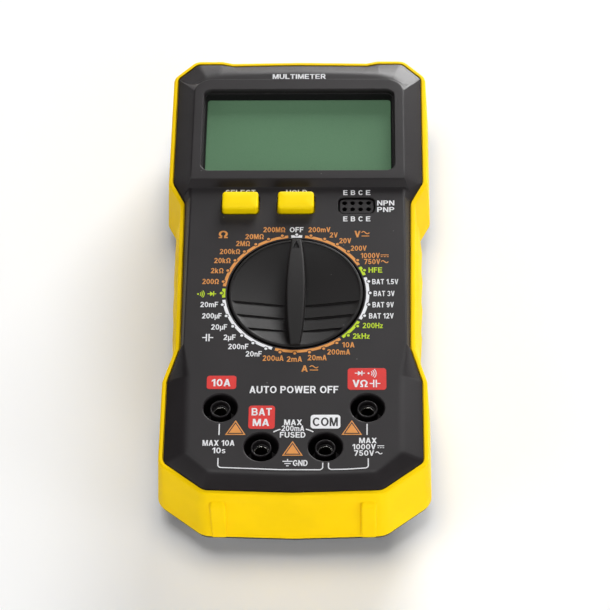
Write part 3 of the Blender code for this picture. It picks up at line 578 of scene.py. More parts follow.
def front_case():
    """Front shell: sloping border with soft edges, display block, dial well and jack wells."""
    edge, flat = case(), panel()
    rise = PANEL_Z - RIM_Z
    sections = [(case(-SHELL_IN), SPLIT_Z + GAP), (case(-SHELL_IN), LIP_Z), (edge, LIP_Z),
                (edge, RIM_Z - 0.25), (between(edge, flat, 0.03), RIM_Z)]
    for share, lift in ((0.3, 0.3), (0.6, 0.6), (0.78, 0.78), (0.88, 0.87), (0.97, 0.935),
                        (1.06, 0.975), (1.16, 0.995), (1.26, 1.0)):
        sections.append((between(edge, flat, share), RIM_Z + rise * lift))
    shell = loft(sections)
    rise = BLOCK_Z - RIM_Z
    block = [(block_outline(share), RIM_Z + rise * lift)
             for share, lift in ((0.0, 0.002), (0.5, 0.5), (0.93, 0.93), (0.97, 0.967),
                                 (1.01, 0.99), (1.05, 1.0))]
    shell = join(shell, loft(block))
    shell = cut(shell, loft([
        (case(-SHELL_IN - WALL), SPLIT_Z - 1),
        (case(-SHELL_IN - WALL), RIM_Z - 2.5),
        (panel(-1.5), PANEL_Z - PANEL_THICK),
    ]))
    lands = [cylinder(WELL_R + 1.6, PANEL_Z - WELL_DEPTH - 1.8, PANEL_Z - 1)]
    lands += [cylinder(JACK_TUBE_R, BOARD_TOP_Z + GAP, PANEL_Z - 1, at) for at in JACKS.values()]
    lands += [cylinder(3.2, SPLIT_Z + GAP, PANEL_Z - 1, at, 24) for at in CASE_SCREWS]
    lands += [cylinder(2.4, BOARD_TOP_Z + GAP, PANEL_Z - 1, at, 24) for at in BOARD_SCREWS]
    shell = join(shell, *lands)
    shell = cut(shell, together(
        turned(lifted(PANEL_Z, [(0, -WELL_DEPTH), (WELL_R, -WELL_DEPTH), (WELL_R, -0.2),
                                (WELL_R + 0.2, 0), (WELL_R + 0.2, 1), (0, 1)]), sides=128),
        *[cylinder(CASE_BORE_R, SPLIT_Z - 1, PANEL_Z - 5, at, 16) for at in CASE_SCREWS],
        *[cylinder(1.2, BOARD_TOP_Z - 1, PANEL_Z - 4, at, 16) for at in BOARD_SCREWS],
    ))
    shell = cut(shell, cylinder(HUB_HOLE_R, PANEL_Z - 8, PANEL_Z))
    lip = 0.3
    for at in JACKS.values():
        shell = cut(shell, ring(JACK_WELL_R, JACK_POST_R, PANEL_Z - JACK_DEPTH, PANEL_Z + 1, at))
        shell = cut(
            shell,
            turned(lifted(PANEL_Z, [
                (0, -0.6), (JACK_POST_R - 0.25, -0.6), (JACK_POST_R + 0.05, -0.9),
                (JACK_WELL_R - 0.05, -0.9), (JACK_WELL_R + 0.02, -0.25), (JACK_WELL_R + lip, 0),
                (JACK_WELL_R + lip, 1), (0, 1)]), at),
            turned([(0, BOARD_TOP_Z - 1), (2.6, BOARD_TOP_Z - 1), (2.6, PANEL_Z - 2.6),
                    (JACK_BORE_R, PANEL_Z - 2.6), (JACK_BORE_R + 0.1, PANEL_Z - 2.55),
                    (JACK_POST_R - 0.6, PANEL_Z - 2.5), (JACK_POST_R - 0.45, PANEL_Z - 0.7),
                    (JACK_POST_R - 0.35, PANEL_Z - 0.6), (JACK_POST_R - 0.35, PANEL_Z),
                    (0, PANEL_Z)], at))
    width, height = 2 * WINDOW_X, WINDOW_Y[1] - WINDOW_Y[0]

    def window(by):
        return rectangle(width + 2 * by, height + 2 * by, 2.5 + by, WINDOW_MIDDLE)
    inner = rectangle(width - 2 * LEDGE, height - 2 * LEDGE, 1.5, WINDOW_MIDDLE)
    pocket_z = GLASS_TOP_Z + 0.2
    pocket = [side / 2 + 0.5 for side in GLASS_SIZE]
    shell = cut(shell, flared(window, BLOCK_Z - LEDGE_DEPTH, BLOCK_Z, 0.35),
                plate(inner, PANEL_Z - 4, BLOCK_Z),
                box((-pocket[0], pocket[0]), (DISPLAY_Y - pocket[1], DISPLAY_Y + pocket[1]),
                    (pocket_z - 3, pocket_z)))
    openings = [((x, KEY_Y), KEY_SIZE, 1.2) for x in KEY_X.values()]
    openings.append((SOCKET_AT, SOCKET_SIZE, 2.0))
    cutters = []
    for at, size, radius in openings:
        def opening(by):
            return rectangle(size[0] + 0.6 + 2 * by, size[1] + 0.6 + 2 * by, radius + by, at)
        cutters.append(flared(opening, PANEL_Z - 4, PANEL_Z, 0.15))
    shell = cut(shell, together(*cutters))
    piece("front_case", shell, BLACK, "meter", ["front_shell"])


def window_shade_liner():
    """Matt black liner of the window, between the display and its clear cover: a dark sheet that
    paints the shade on the window's walls.
    """
    width = 2 * (WINDOW_X - LEDGE) - 0.04
    height = WINDOW_Y[1] - WINDOW_Y[0] - 2 * LEDGE - 0.04
    low, high = GLASS_TOP_Z + 0.05, BLOCK_Z - LEDGE_DEPTH + 0.1

    def opening(by):
        return rectangle(width - 2 * by, height - 2 * by, 1.5 - by, WINDOW_MIDDLE)
    liner = cut(plate(opening(0), low, high),
                loft([(opening(0.45), low - 1), (opening(0.45), low + 0.4),
                      (opening(0.25), high - 0.2), (opening(0.12), high),
                      (opening(0.12), high + 1)]))
    piece("window_shade_liner", liner, SHADE_BLACK, "meter", [])


def boot():
    """Yellow boot with a rounded rim, finger grips at the waist and two ribs at the foot."""
    low = BOOT_LOW_Z
    round_z = RIM_Z - 0.9
    foot = BOOT_OUT + BOOT_FLARE
    body = loft([(case(foot - 0.4), low), (case(foot), low + 0.4), (case(BOOT_OUT), round_z),
                 *softened(lambda by: case(BOOT_OUT + by), round_z, 0.6, 0.9)])
    half = RIB_X - RIB_WIDTH / 2
    side_x, side_y = CASE_HALF[-2][:2]
    end_y = CASE_HALF[-1][1]
    fall = (side_y - end_y) / side_x
    beyond = -80.0

    def hollow(z, depth):
        """The space between the ribs at one height, cut into the wall by a depth."""
        lean = BOOT_FLARE * (round_z - z) / (RIM_Z - 1.3 - low)
        wall = depth + end_y - BOOT_OUT - lean
        return [(-half, beyond), (-half, wall + half * fall), (0.0, wall),
                (half, wall + half * fall), (half, beyond)], z
    body = cut(body, loft([hollow(low + 0.6, -0.1), hollow(low + 1.4, 0.4),
                           hollow(RIM_Z - 5.4, 0.5), hollow(RIM_Z - 3.4, -0.1)]))
    for side in (-1, 1):
        x = side * RIB_X

        def rib(by, x=x):
            return rectangle(RIB_WIDTH + min(by, 0), 4.0 + by, 0.7,
                             (x, RIB_FOOT_Y + 2.0 - by / 2), 4)
        body = join(body, loft([(rib(-0.3), low + 0.02), (rib(0), low + 0.3),
                                (rib(0), RIM_Z - 6.0), (rib(-0.25), RIM_Z - 4.9),
                                (rib(-0.7), RIM_Z - 4.1), (rib(-1.3), RIM_Z - 3.5)]))
        grip = rounded([(side * x, y, radius) for x, y, radius in GRIP], 4)
        outside = [abs(x) > GRIP_WALL_X for x, y in grip]
        slim = [(side * min(abs(x), 37.0 if out else 36.4), y)
                for (x, y), out in zip(grip, outside)]
        leaning = [(x + side * (BOOT_FLARE if out else 0), y)
                   for (x, y), out in zip(grip, outside)]
        body = join(body, loft([(between(leaning, slim, 0.3), low + 1.5), (leaning, low + 2.3),
                                (grip, RIM_Z - 6.5), (between(grip, slim, 0.25), RIM_Z - 5.0),
                                (slim, RIM_Z - 2.3)]))
    body = cut(body, plate(case(GAP - SHELL_IN), low - 1, LIP_Z - 0.4),
               plate(case(GAP), LIP_Z - 0.41, RIM_Z + 1))
    piece("boot", body, YELLOW, "meter", ["protective_boot"])


def cover_outline(by=0.0):
    """The battery cover: a rounded rectangle with an ear for its screw."""
    half = [
        (4.0, COVER_SCREW_Y + 3.6, 2.5), (5.0, BAY_Y + COVER_HALF[1], 1),
        (COVER_HALF[0], BAY_Y + COVER_HALF[1], 2), (COVER_HALF[0], BAY_Y - COVER_HALF[1], 2),
    ]
    return rounded(grown(mirrored(half), by))


def back_case():
    """Rear shell with its stand recess, battery bay and screw posts."""
    flange = BOOT_OUT + BOOT_FLARE
    shell = loft([
        (case(-BACK_IN - 0.5), FOOT_STANDOFF),
        (case(-BACK_IN + 0.25), FOOT_STANDOFF + 0.2),
        (case(flange - 0.9), BOOT_LOW_Z - 1.6),
        (case(flange - 0.45), BOOT_LOW_Z - 1.0),
        (case(flange - 0.4), BOOT_LOW_Z - GAP),
        (case(-SHELL_IN), BOOT_LOW_Z - GAP),
        (case(-SHELL_IN), SPLIT_Z),
    ])
    shell = cut(shell, loft([
        (case(-BACK_IN - 2.2), FOOT_STANDOFF + 2.2),
        (case(-SHELL_IN - WALL), BOOT_LOW_Z + 0.5),
        (case(-SHELL_IN - WALL), SPLIT_Z + 1),
    ]))
    low_z = FOOT_STANDOFF + 0.8
    lands = [
        box((-29.3, 29.3), (STAND_Y[0] - 7.5, STAND_Y[1] + 4), (low_z, STAND_RECESS_Z + 2)),
        box((-BAY_HALF[0] - 1.6, BAY_HALF[0] + 1.6),
            (BAY_Y - BAY_HALF[1] - 1.6, BAY_Y + BAY_HALF[1] + 1.6), (low_z, BAY_CEILING_Z + 1.2)),
        box((-31.4, 31.4), (BAY_Y - COVER_HALF[1] - 1.6, BAY_Y + COVER_HALF[1] + 1.6),
            (low_z, FOOT_STANDOFF + 3.8)),
        box((-6.5, 6.5), (BAY_Y, COVER_SCREW_Y + 5.5), (low_z, FOOT_STANDOFF + 4.4)),
        cylinder(3.2, low_z, 13.0, (0, COVER_SCREW_Y)),
    ]
    lands += [cylinder(4.3, low_z, SPLIT_Z, at, 32) for at in CASE_SCREWS]
    shell = join(shell, *lands)
    recess_x = STAND_X + 0.5
    middle_y = (STAND_Y[0] - 0.6 + STAND_Y[1] + 2.2) / 2
    long_y = STAND_Y[1] + 2.2 - (STAND_Y[0] - 0.6)

    def under(outline_at, ceiling, flare=0.25):
        """A cutter from below that opens out at the back of the case."""
        return loft([(outline_at(flare), 0), (outline_at(flare), FOOT_STANDOFF),
                     (outline_at(0), FOOT_STANDOFF + flare), (outline_at(0), ceiling)])
    shell = cut(
        shell,
        under(lambda by: rectangle(2 * (recess_x + by), long_y + 2 * by, 0.8,
                                   (0, middle_y)), STAND_RECESS_Z),
        under(lambda by: rectangle(18 + 2 * by, 8 + 2 * by, 2, (0, STAND_Y[0] - 2.6)),
              STAND_RECESS_Z + 0.2, 0.6),
        cylinder(1.4, -28.9, 28.9, (STAND_Y[1], HINGE_Z), 32, "X"),
        plate(cover_outline(GAP), 0, FOOT_STANDOFF + 2.4),
        box((-BAY_HALF[0], BAY_HALF[0]), (BAY_Y - BAY_HALF[1], BAY_Y + BAY_HALF[1]),
            (0, BAY_CEILING_Z)),
        box((22.4, 27.2), (BAY_Y - BAY_HALF[1] - 3, BAY_Y - BAY_HALF[1] + 1), (9, 17)),
        together(
            cylinder(1.4, 2, 12.5, (0, COVER_SCREW_Y), 16),
            *[cylinder(CASE_BORE_R, 0, SPLIT_Z + 1, at, 16) for at in CASE_SCREWS],
            *[turned([(0, 0), (FOOT_R + GAP, 0), (FOOT_R + GAP, FOOT_STANDOFF + 0.8),
                      (0, FOOT_STANDOFF + 0.8)], at) for at in FEET],
        ),
        together(*[turned([(0, 0), (3.5, 0), (3.5, FOOT_STANDOFF), (3.2, FOOT_STANDOFF + 0.3),
                           (3.2, FOOT_STANDOFF + 2.6), (0, FOOT_STANDOFF + 2.6)], at, 48)
                   for at in CASE_SCREWS]),
    )
    piece("back_case", shell, BLACK, "meter", ["rear_shell"])


def cover():
    """Battery cover with finger ridges and a countersunk screw hole."""
    low, high = FOOT_STANDOFF, FOOT_STANDOFF + 2.1
    lid = loft([(cover_outline(-0.3), low), (cover_outline(), low + 0.3), (cover_outline(), high)])
    lid = cut(lid, turned([(0, 0), (2.9, 0), (2.9, low), (2.6, low + 0.3), (2.6, low + 1.5),
                           (1.5, low + 1.5), (1.5, 5), (0, 5)], (0, COVER_SCREW_Y)))
    grooves = []
    for row in range(4):
        at = (0, 54.5 + 2.2 * row)
        mouth = rectangle(18.4, 1.0, 0.5, at)
        grooves.append(loft([(mouth, low - 0.5), (mouth, low),
                             (rectangle(17.6, 0.4, 0.2, at), low + 0.6)]))
    lid = cut(lid, together(*grooves))
    piece("cover", lid, BLACK, "meter", ["battery_cover"])


def stand():
    """Tilt stand with a sunk panel, stiffening ribs and rounded edges."""
    x = STAND_X
    low, hinge_y = STAND_Y
    length = hinge_y - low

    def leg(by):
        return rounded([(-x - by, hinge_y - 1.0, 0), (x + by, hinge_y - 1.0, 0),
                        (x + by, low - by, 4), (-x - by, low - by, 4)])
    half = 1.5
    bottom, top = HINGE_Z - half, HINGE_Z + half
    made = loft([(leg(-0.35), bottom), (leg(0), bottom + 0.35), (leg(0), top - 0.2),
                 (leg(-0.2), top)])
    made = join(made, cylinder(half, -x, x, (hinge_y, HINGE_Z), 32, "X"),
                cylinder(1.1, -28.6, 28.6, (hinge_y, HINGE_Z), 32, "X"))
    middle = (0.0, hinge_y - length / 2)

    def sunk(by):
        return rectangle(40 + 2 * by, length - 20 + 2 * by, 3, middle)
    made = cut(made, loft([(sunk(0.3), bottom - 1), (sunk(0.3), bottom),
                           (sunk(-0.3), bottom + 0.8)]))
    bars = [loft([(rectangle(30 - 2 * inset, 1.6 - 2 * inset, 0.4, (0, y)), bottom + up)
                  for inset, up in ((0.25, 0.25), (0.0, 0.5), (0.0, 1.0))])
            for y in (-33, -29.5, -26, -22.5)]
    piece("tilt_stand", join(made, together(*bars)), BLACK, "stand", ["kickstand"])


def screw_piece(name, at, head_z, head_r, head_height, shank_r, tip_z):
    """A screw driven up from below: domed head with a cross recess, and a threaded shank."""
    profile = [(0, head_z), (head_r * 0.7, head_z), (head_r * 0.93, head_z + head_height * 0.2),
               (head_r, head_z + head_height * 0.5), (head_r, head_z + head_height)]
    z, step = head_z + head_height, 0.45
    while z + step < tip_z - 1:
        profile += [(shank_r * 0.82, z), (shank_r, z + step / 2)]
        z += step
    profile += [(shank_r * 0.8, tip_z - 0.9), (0.15, tip_z), (0, tip_z)]
    made = turned(profile, at, 24)
    arm = head_r * 0.62
    depth = head_height * 0.55
    for x, y in ((0.32, arm), (arm, 0.32)):
        mouth = rectangle(2 * x, 2 * y, 0.1, at, 2)
        made = cut(made, loft([(mouth, head_z - 1), (mouth, head_z),
                               (rectangle(x, y, 0.08, at, 2), head_z + depth)]))
    piece(name + "_turned", made, STEEL, "meter", [name])


def foot_piece(name, at):
    """A round rubber foot with a softened rim."""
    made = turned([(0, 0), (FOOT_R - 0.5, 0), (FOOT_R - 0.15, 0.15), (FOOT_R, 0.5),
                   (FOOT_R, FOOT_STANDOFF + 0.5), (0, FOOT_STANDOFF + 0.5)], at)
    piece(name + "_rubber", made, RUBBER, "meter", [name])


# --- keys, sockets and dial -------------------------------------------------------------------

def key_piece(name):
    """A yellow key with rounded edges on its flange and stem."""
    at = (KEY_X[name], KEY_Y)
    low = PANEL_Z - PANEL_THICK - 1.1

    def cap(by):
        return rectangle(KEY_SIZE[0] + 2 * by, KEY_SIZE[1] + 2 * by, max(0.5, 1.1 + by), at)
    top = PANEL_Z + KEY_RISE
    round_z = top - 0.9
    made = loft([(cap(0), low), (cap(0), round_z), *softened(cap, round_z, 0.7, 0.75),
                 (cap(-1.6), top - 0.06), (cap(-2.4), top)])
    flange = rectangle(KEY_SIZE[0] + 1.7, KEY_SIZE[1] + 1.6, 1.0, at)
    made = join(made, plate(flange, low - 0.02, PANEL_Z - PANEL_THICK - GAP),
                cylinder(1.2, PANEL_Z - 8.2, low + 0.5, at, 32))
    piece(name + "_button", made, KEY_YELLOW, name, [name + "_key"])


def transistor_holes():
    """Eight-hole transistor socket, with a slight chamfer round each hole."""
    top = PANEL_Z - 0.5

    def outline(by):
        return rectangle(SOCKET_SIZE[0] + 2 * by, SOCKET_SIZE[1] + 2 * by, 1.7 + by, SOCKET_AT)
    made = loft([(outline(0), BOARD_TOP_Z + GAP), (outline(0), top - 0.3), (outline(-0.3), top)])
    holes = []
    for column in range(4):
        for row in (-0.5, 0.5):
            at = (SOCKET_AT[0] + (column - 1.5) * PIN_PITCH,
                  SOCKET_AT[1] + 0.1 + row * PIN_PITCH)
            holes.append(turned(lifted(top, [(0, -5), (0.78, -5), (0.78, -0.08), (0.84, 0),
                                             (0.84, 1), (0, 1)]), at, 24))
    piece("transistor_holes", cut(made, together(*holes)), BLACK, "meter",
          ["transistor_socket"])


def jack_tube(name, at):
    """Plated tube of an input jack, with a chamfered mouth and a tarnished bore."""
    top = PANEL_Z - 2.9
    made = turned([(0, 15.0), (2.4, 15.0), (2.4, top - 0.1), (2.3, top), (2.02, top),
                   (1.9, top - 0.14), (1.86, top - 0.3), (1.86, 17.0), (0, 17.0)], at)
    tube = piece("jack_tube_" + name, made, PLATED, "meter", ["jack_socket_" + name])
    tube.data.materials.append(TARNISHED)
    for face in tube.data.polygons:
        if face.center.z < (top - 0.28) * MM:
            face.material_index = 1


def blade_half_width(y):
    """Half the width of the dial's handle at a distance from the dial's axis."""
    return BLADE_HALF - (BLADE_HALF - BLADE_END_HALF) * (2 * y / BLADE_LENGTH) ** 2


def dish_height(x, y, inner, reach):
    """Height of the finger dish, which deepens from the rim of the dial to the handle."""
    fade = math.sqrt(1 - (abs(y) / DISH_R) ** 4)
    return -DISH_DEPTH * fade * (reach - x) / (DISH_R - inner)


def dish_cutter(side):
    """What is scooped out of one half of the dial, as a grid between the handle and the rim."""
    top_y, bottom_y, lowest = 19.9, -19.8, -2.95
    rows = []
    y = top_y
    while y > LOUVRE_FIRST_Y + 0.5:
        rows.append((y, 0.0))
        y -= 1.1
    for index in range(3):
        start = LOUVRE_FIRST_Y - index * LOUVRE_PITCH
        rows += [(start, 0.0), (start - 0.08, LOUVRE_DEPTH), (start - 0.42, LOUVRE_DEPTH)]
        rows += [(start - LOUVRE_PITCH * share, LOUVRE_DEPTH * (1 - share) ** 1.3)
                 for share in (0.25, 0.5, 0.75, 0.97)]
    rows.append((bottom_y, 0.0))
    columns = 14
    form = bmesh.new()
    floor, roof = [], []
    for y, groove in rows:
        reach = math.sqrt(DISH_R ** 2 - y * y)
        inner = blade_half_width(y) - 0.25
        low_row, high_row = [], []
        for column in range(columns + 1):
            share = column / columns
            x = inner + (reach - inner) * share
            depth = groove * min(1.0, 0.3 + x / 9.0, (reach - x) / 0.8)
            z = PANEL_Z + max(dish_height(x, y, inner, reach) - depth, lowest)
            low_row.append(form.verts.new((side * x, y, z)))
            high_row.append(form.verts.new((side * x, y, PANEL_Z + 6)))
        floor.append(low_row)
        roof.append(high_row)
    last = len(rows) - 1
    for i in range(last):
        for j in range(columns):
            for grid in (floor, roof):
                form.faces.new((grid[i][j], grid[i + 1][j], grid[i + 1][j + 1], grid[i][j + 1]))
        for j in (0, columns):
            form.faces.new((floor[i][j], floor[i + 1][j], roof[i + 1][j], roof[i][j]))
    for j in range(columns):
        for i in (0, last):
            form.faces.new((floor[i][j], floor[i][j + 1], roof[i][j + 1], roof[i][j]))
    return finished(form)


def dial_knob():
    """The dial: a dished disc with a lens-shaped handle and grooves on its lower half."""
    disc = turned(lifted(PANEL_Z, [
        (0, -9.0), (4.9, -9.0), (4.9, -5.4), (7.4, -5.4), (7.4, -3.1), (KNOB_R, -3.1),
        (KNOB_R, -0.05), (KNOB_R - 0.08, 0.15), (KNOB_R - 0.25, 0.27), (KNOB_R - 0.4, 0.3),
        (0, 0.3)]), sides=160)
    disc = cut(disc, dish_cutter(1), dish_cutter(-1))
    stations = 32
    ends = [-BLADE_LENGTH / 2 + BLADE_LENGTH * step / stations for step in range(stations + 1)]
    sections = []
    for inset, drop in ((0.0, None), (0.0, 0.75), (0.06, 0.4), (0.2, 0.15), (0.42, 0.03),
                        (0.7, 0.0)):
        points = []
        for side, row in ((1, ends), (-1, list(reversed(ends)))):
            for y in row:
                crown = PANEL_Z + 1.35 + 0.9 * (1 - (2 * y / BLADE_LENGTH) ** 2)
                width = blade_half_width(y)
                pull = 1 - inset / (BLADE_LENGTH / 2)
                z = PANEL_Z - 2.9 if drop is None else crown - drop
                points.append((side * max(width - inset, 0.3), y * pull, z))
        sections.append(points)
    disc = join(disc, loft(sections))
    pointer = [(0, 19.6), (1.05, 16.6), (-1.05, 16.6)]
    wide = [(0, 19.9), (1.2, 16.45), (-1.2, 16.45)]
    disc = cut(disc, loft([(pointer, PANEL_Z + 1.1), (wide, PANEL_Z + 5.0)]))
    piece("dial_knob", disc, KNOB_BLACK, "dial", ["selector_knob"], 28.0)


# --- print ------------------------------------------------------------------------------------

INK_Z = (PANEL_Z + 0.004, PANEL_Z + 0.03)
CAP_HEIGHT = 2.05
prints = {ink: [] for ink in INKS}  # the flat shapes drawn so far in each ink


def bar(left, low, right, high):
    """A rectangle of a letter."""
    return [(left, low), (left, high), (right, high), (right, low)]


def bowl(x, y, across, up, start, end, weight=0.19):
    """A curved stroke of a letter, in degrees clockwise from the top, in short closed runs."""
    runs = max(1, math.ceil(abs(end - start) / 180))
    outlines = []
    for run in range(runs):
        turns = [math.radians(start + (end - start) * (run + step / 8) / runs)
                 for step in range(9)]
        rim = [[(x + (across + half) * math.sin(a), y + (up + half * 0.9) * math.cos(a))
                for a in turns] for half in (weight / 2, -weight / 2)]
        outlines.append(rim[0] + rim[1][::-1])
    return outlines


def glyphs():
    """Bold letters: each has its width and its closed outlines, for capitals one unit high."""
    stem = bar(0, 0, 0.2, 1)
    bowls_p = [stem, bar(0.1, 0.83, 0.42, 1), bar(0.1, 0.38, 0.42, 0.55),
               *bowl(0.42, 0.69, 0.165, 0.225, 0, 180)]
    arch = [bar(0, 0, 0.18, 0.72), *bowl(0.28, 0.45, 0.19, 0.185, -90, 90),
            bar(0.375, 0, 0.56, 0.46)]
    small_u = [bar(0, 0.26, 0.18, 0.72), bar(0.38, 0, 0.56, 0.72),
               *bowl(0.285, 0.27, 0.195, 0.185, 90, 270)]
    return {
        "0": (0.66, bowl(0.33, 0.5, 0.235, 0.415, 0, 360)),
        "1": (0.46, [bar(0.24, 0, 0.44, 1), [(0.02, 0.62), (0.02, 0.8), (0.26, 1), (0.3, 0.8)]]),
        "2": (0.66, [*bowl(0.33, 0.69, 0.215, 0.225, -80, 120), bar(0, 0, 0.65, 0.17),
                     [(0.0, 0.1), (0.42, 0.63), (0.58, 0.53), (0.26, 0.1)]]),
        "3": (0.64, [*bowl(0.3, 0.71, 0.2, 0.2, -75, 180), *bowl(0.3, 0.295, 0.225, 0.21, 0, 255)]),
        "5": (0.66, [bar(0.1, 0.83, 0.6, 1),
                     [(0.05, 0.44), (0.11, 0.98), (0.28, 0.98), (0.23, 0.44)],
                     *bowl(0.32, 0.32, 0.225, 0.235, -50, 250)]),
        "7": (0.62, [bar(0, 0.83, 0.62, 1), [(0.1, 0), (0.42, 0.86), (0.62, 0.86), (0.31, 0)]]),
        "9": (0.66, [*bowl(0.32, 0.67, 0.22, 0.24, 0, 360),
                     *bowl(0.315, 0.5, 0.235, 0.415, 80, 235)]),
        ".": (0.2, [bar(0, 0, 0.2, 0.2)]),
        "A": (0.76, [[(0, 0), (0.27, 1), (0.48, 1), (0.21, 0)],
                     [(0.76, 0), (0.55, 0), (0.28, 1), (0.49, 1)], bar(0.17, 0.2, 0.59, 0.37)]),
        "B": (0.72, [stem, bar(0.1, 0.83, 0.43, 1), bar(0.1, 0.43, 0.45, 0.59),
                     bar(0.1, 0, 0.45, 0.17), *bowl(0.42, 0.71, 0.165, 0.205, 0, 180),
                     *bowl(0.44, 0.295, 0.185, 0.21, 0, 180)]),
        "C": (0.76, bowl(0.41, 0.5, 0.31, 0.415, 52, -232)),
        "D": (0.74, [stem, bar(0.1, 0.83, 0.35, 1), bar(0.1, 0, 0.35, 0.17),
                     *bowl(0.34, 0.5, 0.3, 0.415, 0, 180)]),
        "E": (0.66, [stem, bar(0, 0.83, 0.64, 1), bar(0, 0.42, 0.6, 0.59), bar(0, 0, 0.66, 0.17)]),
        "F": (0.61, [stem, bar(0, 0.83, 0.61, 1), bar(0, 0.42, 0.54, 0.59)]),
        "G": (0.8, [*bowl(0.41, 0.5, 0.31, 0.415, 52, -205), bar(0.45, 0.37, 0.79, 0.53),
                    bar(0.6, 0.1, 0.79, 0.45)]),
        "I": (0.2, [stem]),
        "H": (0.74, [stem, bar(0.54, 0, 0.74, 1), bar(0.1, 0.42, 0.64, 0.6)]),
        "L": (0.61, [stem, bar(0, 0, 0.61, 0.17)]),
        "M": (0.86, [bar(0, 0, 0.18, 1), bar(0.68, 0, 0.86, 1),
                     [(0.02, 1), (0.25, 1), (0.51, 0), (0.35, 0)],
                     [(0.84, 1), (0.61, 1), (0.35, 0), (0.51, 0)]]),
        "N": (0.74, [bar(0, 0, 0.19, 1), bar(0.55, 0, 0.74, 1),
                     [(0.0, 1), (0.2, 1), (0.74, 0), (0.54, 0)]]),
        "O": (0.82, bowl(0.41, 0.5, 0.315, 0.415, 0, 360)),
        "P": (0.69, bowls_p),
        "R": (0.75, [*bowls_p, [(0.3, 0.45), (0.5, 0.45), (0.75, 0), (0.52, 0)]]),
        "S": (0.7, [*bowl(0.35, 0.71, 0.225, 0.205, 72, -180),
                    *bowl(0.35, 0.295, 0.245, 0.21, 0, 252)]),
        "T": (0.68, [bar(0, 0.83, 0.68, 1), bar(0.24, 0, 0.44, 1)]),
        "U": (0.74, [bar(0, 0.35, 0.2, 1), bar(0.54, 0.35, 0.74, 1),
                     *bowl(0.37, 0.36, 0.275, 0.275, 90, 270)]),
        "V": (0.74, [[(0, 1), (0.21, 1), (0.47, 0), (0.27, 0)],
                     [(0.74, 1), (0.53, 1), (0.27, 0), (0.47, 0)]]),
        "W": (1.02, [[(0, 1), (0.2, 1), (0.37, 0), (0.18, 0)],
                     [(0.18, 0), (0.37, 0), (0.6, 1), (0.42, 1)],
                     [(0.42, 1), (0.6, 1), (0.84, 0), (0.65, 0)],
                     [(1.02, 1), (0.82, 1), (0.65, 0), (0.84, 0)]]),
        "X": (0.74, [[(0, 1), (0.23, 1), (0.74, 0), (0.51, 0)],
                     [(0.74, 1), (0.51, 1), (0, 0), (0.23, 0)]]),
        "Ω": (0.82, [*bowl(0.41, 0.57, 0.29, 0.34, -142, 142), bar(0.02, 0, 0.33, 0.16),
                     bar(0.49, 0, 0.8, 0.16), bar(0.17, 0, 0.33, 0.36),
                     bar(0.49, 0, 0.65, 0.36)]),
        "k": (0.58, [bar(0, 0, 0.19, 1), [(0.16, 0.2), (0.16, 0.42), (0.35, 0.72), (0.57, 0.72)],
                     [(0.2, 0.36), (0.34, 0.5), (0.59, 0), (0.37, 0)]]),
        "m": (0.9, [bar(0, 0, 0.18, 0.72), *bowl(0.27, 0.46, 0.18, 0.175, -90, 90),
                    bar(0.36, 0, 0.54, 0.47), *bowl(0.63, 0.46, 0.18, 0.175, -90, 90),
                    bar(0.72, 0, 0.9, 0.47)]),
        "n": (0.56, arch),
        "u": (0.56, small_u),
        "µ": (0.56, [*small_u, bar(0, -0.26, 0.18, 0.4)]),
        "s": (0.54, [*bowl(0.27, 0.52, 0.17, 0.13, 72, -180, 0.16),
                     *bowl(0.27, 0.22, 0.18, 0.15, 0, 252, 0.16)]),
        "z": (0.52, [bar(0, 0.57, 0.5, 0.72), bar(0, 0, 0.52, 0.15),
                     [(0, 0.12), (0.28, 0.6), (0.5, 0.6), (0.23, 0.12)]]),
    }


GLYPHS = glyphs()
LETTER_GAP = 0.1
WORD_GAP = 0.44


def lettering(ink, body, x, y, width, cap=CAP_HEIGHT, z=INK_Z):
    """A line of bold lettering, centred at a place and drawn to a width."""
    shapes, reach = [], 0.0
    for letter in body:
        if letter == " ":
            reach += WORD_GAP - LETTER_GAP
            continue
        wide, outlines = GLYPHS[letter]
        shapes += [(reach, outline) for outline in outlines]
        reach += wide + LETTER_GAP
    scale = width / (reach - LETTER_GAP)
    for index, (start, outline) in enumerate(shapes):
        lift = 0.0004 * (index % 5)
        flat(ink, [(x - width / 2 + (start + u) * scale, y + (v - 0.5) * cap)
                   for u, v in outline], (z[0], z[1] + lift))


def flat(ink, outline, z=INK_Z):
    """A flat printed shape."""
    prints[ink].append(plate(outline, *z))


def stroke(ink, points, width=0.35, z=INK_Z):
    """A printed line of even width."""
    points = [Vector(point) for point in points]
    left, right = [], []
    for index, point in enumerate(points):
        before = points[max(index - 1, 0)]
        after = points[min(index + 1, len(points) - 1)]
        run = (after - before).normalized()
        off = Vector((-run.y, run.x)) * width / 2
        left.append(tuple(point + off))
        right.append(tuple(point - off))
    flat(ink, left + right[::-1], z)


def arc(x, y, radius, start, end, steps=10):
    """Points on an arc, in degrees clockwise from the top."""
    turns = [math.radians(start + (end - start) * step / steps) for step in range(steps + 1)]
    return [(x + radius * math.sin(a), y + radius * math.cos(a)) for a in turns]


def wave(x, y, width, height):
    """Points on one period of a sine wave, height from trough to crest."""
    steps = 16
    return [(x + width * (step / steps - 0.5), y + height / 2 * math.sin(math.tau * step / steps))
            for step in range(steps + 1)]


def direct_sign(ink, x, y, width):
    """Direct current: a line over three dashes."""
    stroke(ink, [(x - width / 2, y + 0.35), (x + width / 2, y + 0.35)], 0.28)
    for index in (-1, 0, 1):
        middle = x + index * width * 0.37
        stroke(ink, [(middle - width * 0.12, y - 0.35), (middle + width * 0.12, y - 0.35)], 0.24)


def both_sign(ink, x, y, width, height):
    """Direct and alternating current: a wave over a line."""
    stroke(ink, wave(x, y + height * 0.22, width, height * 0.42), 0.32)
    stroke(ink, [(x - width / 2, y - height * 0.38), (x + width / 2, y - height * 0.38)], 0.3)


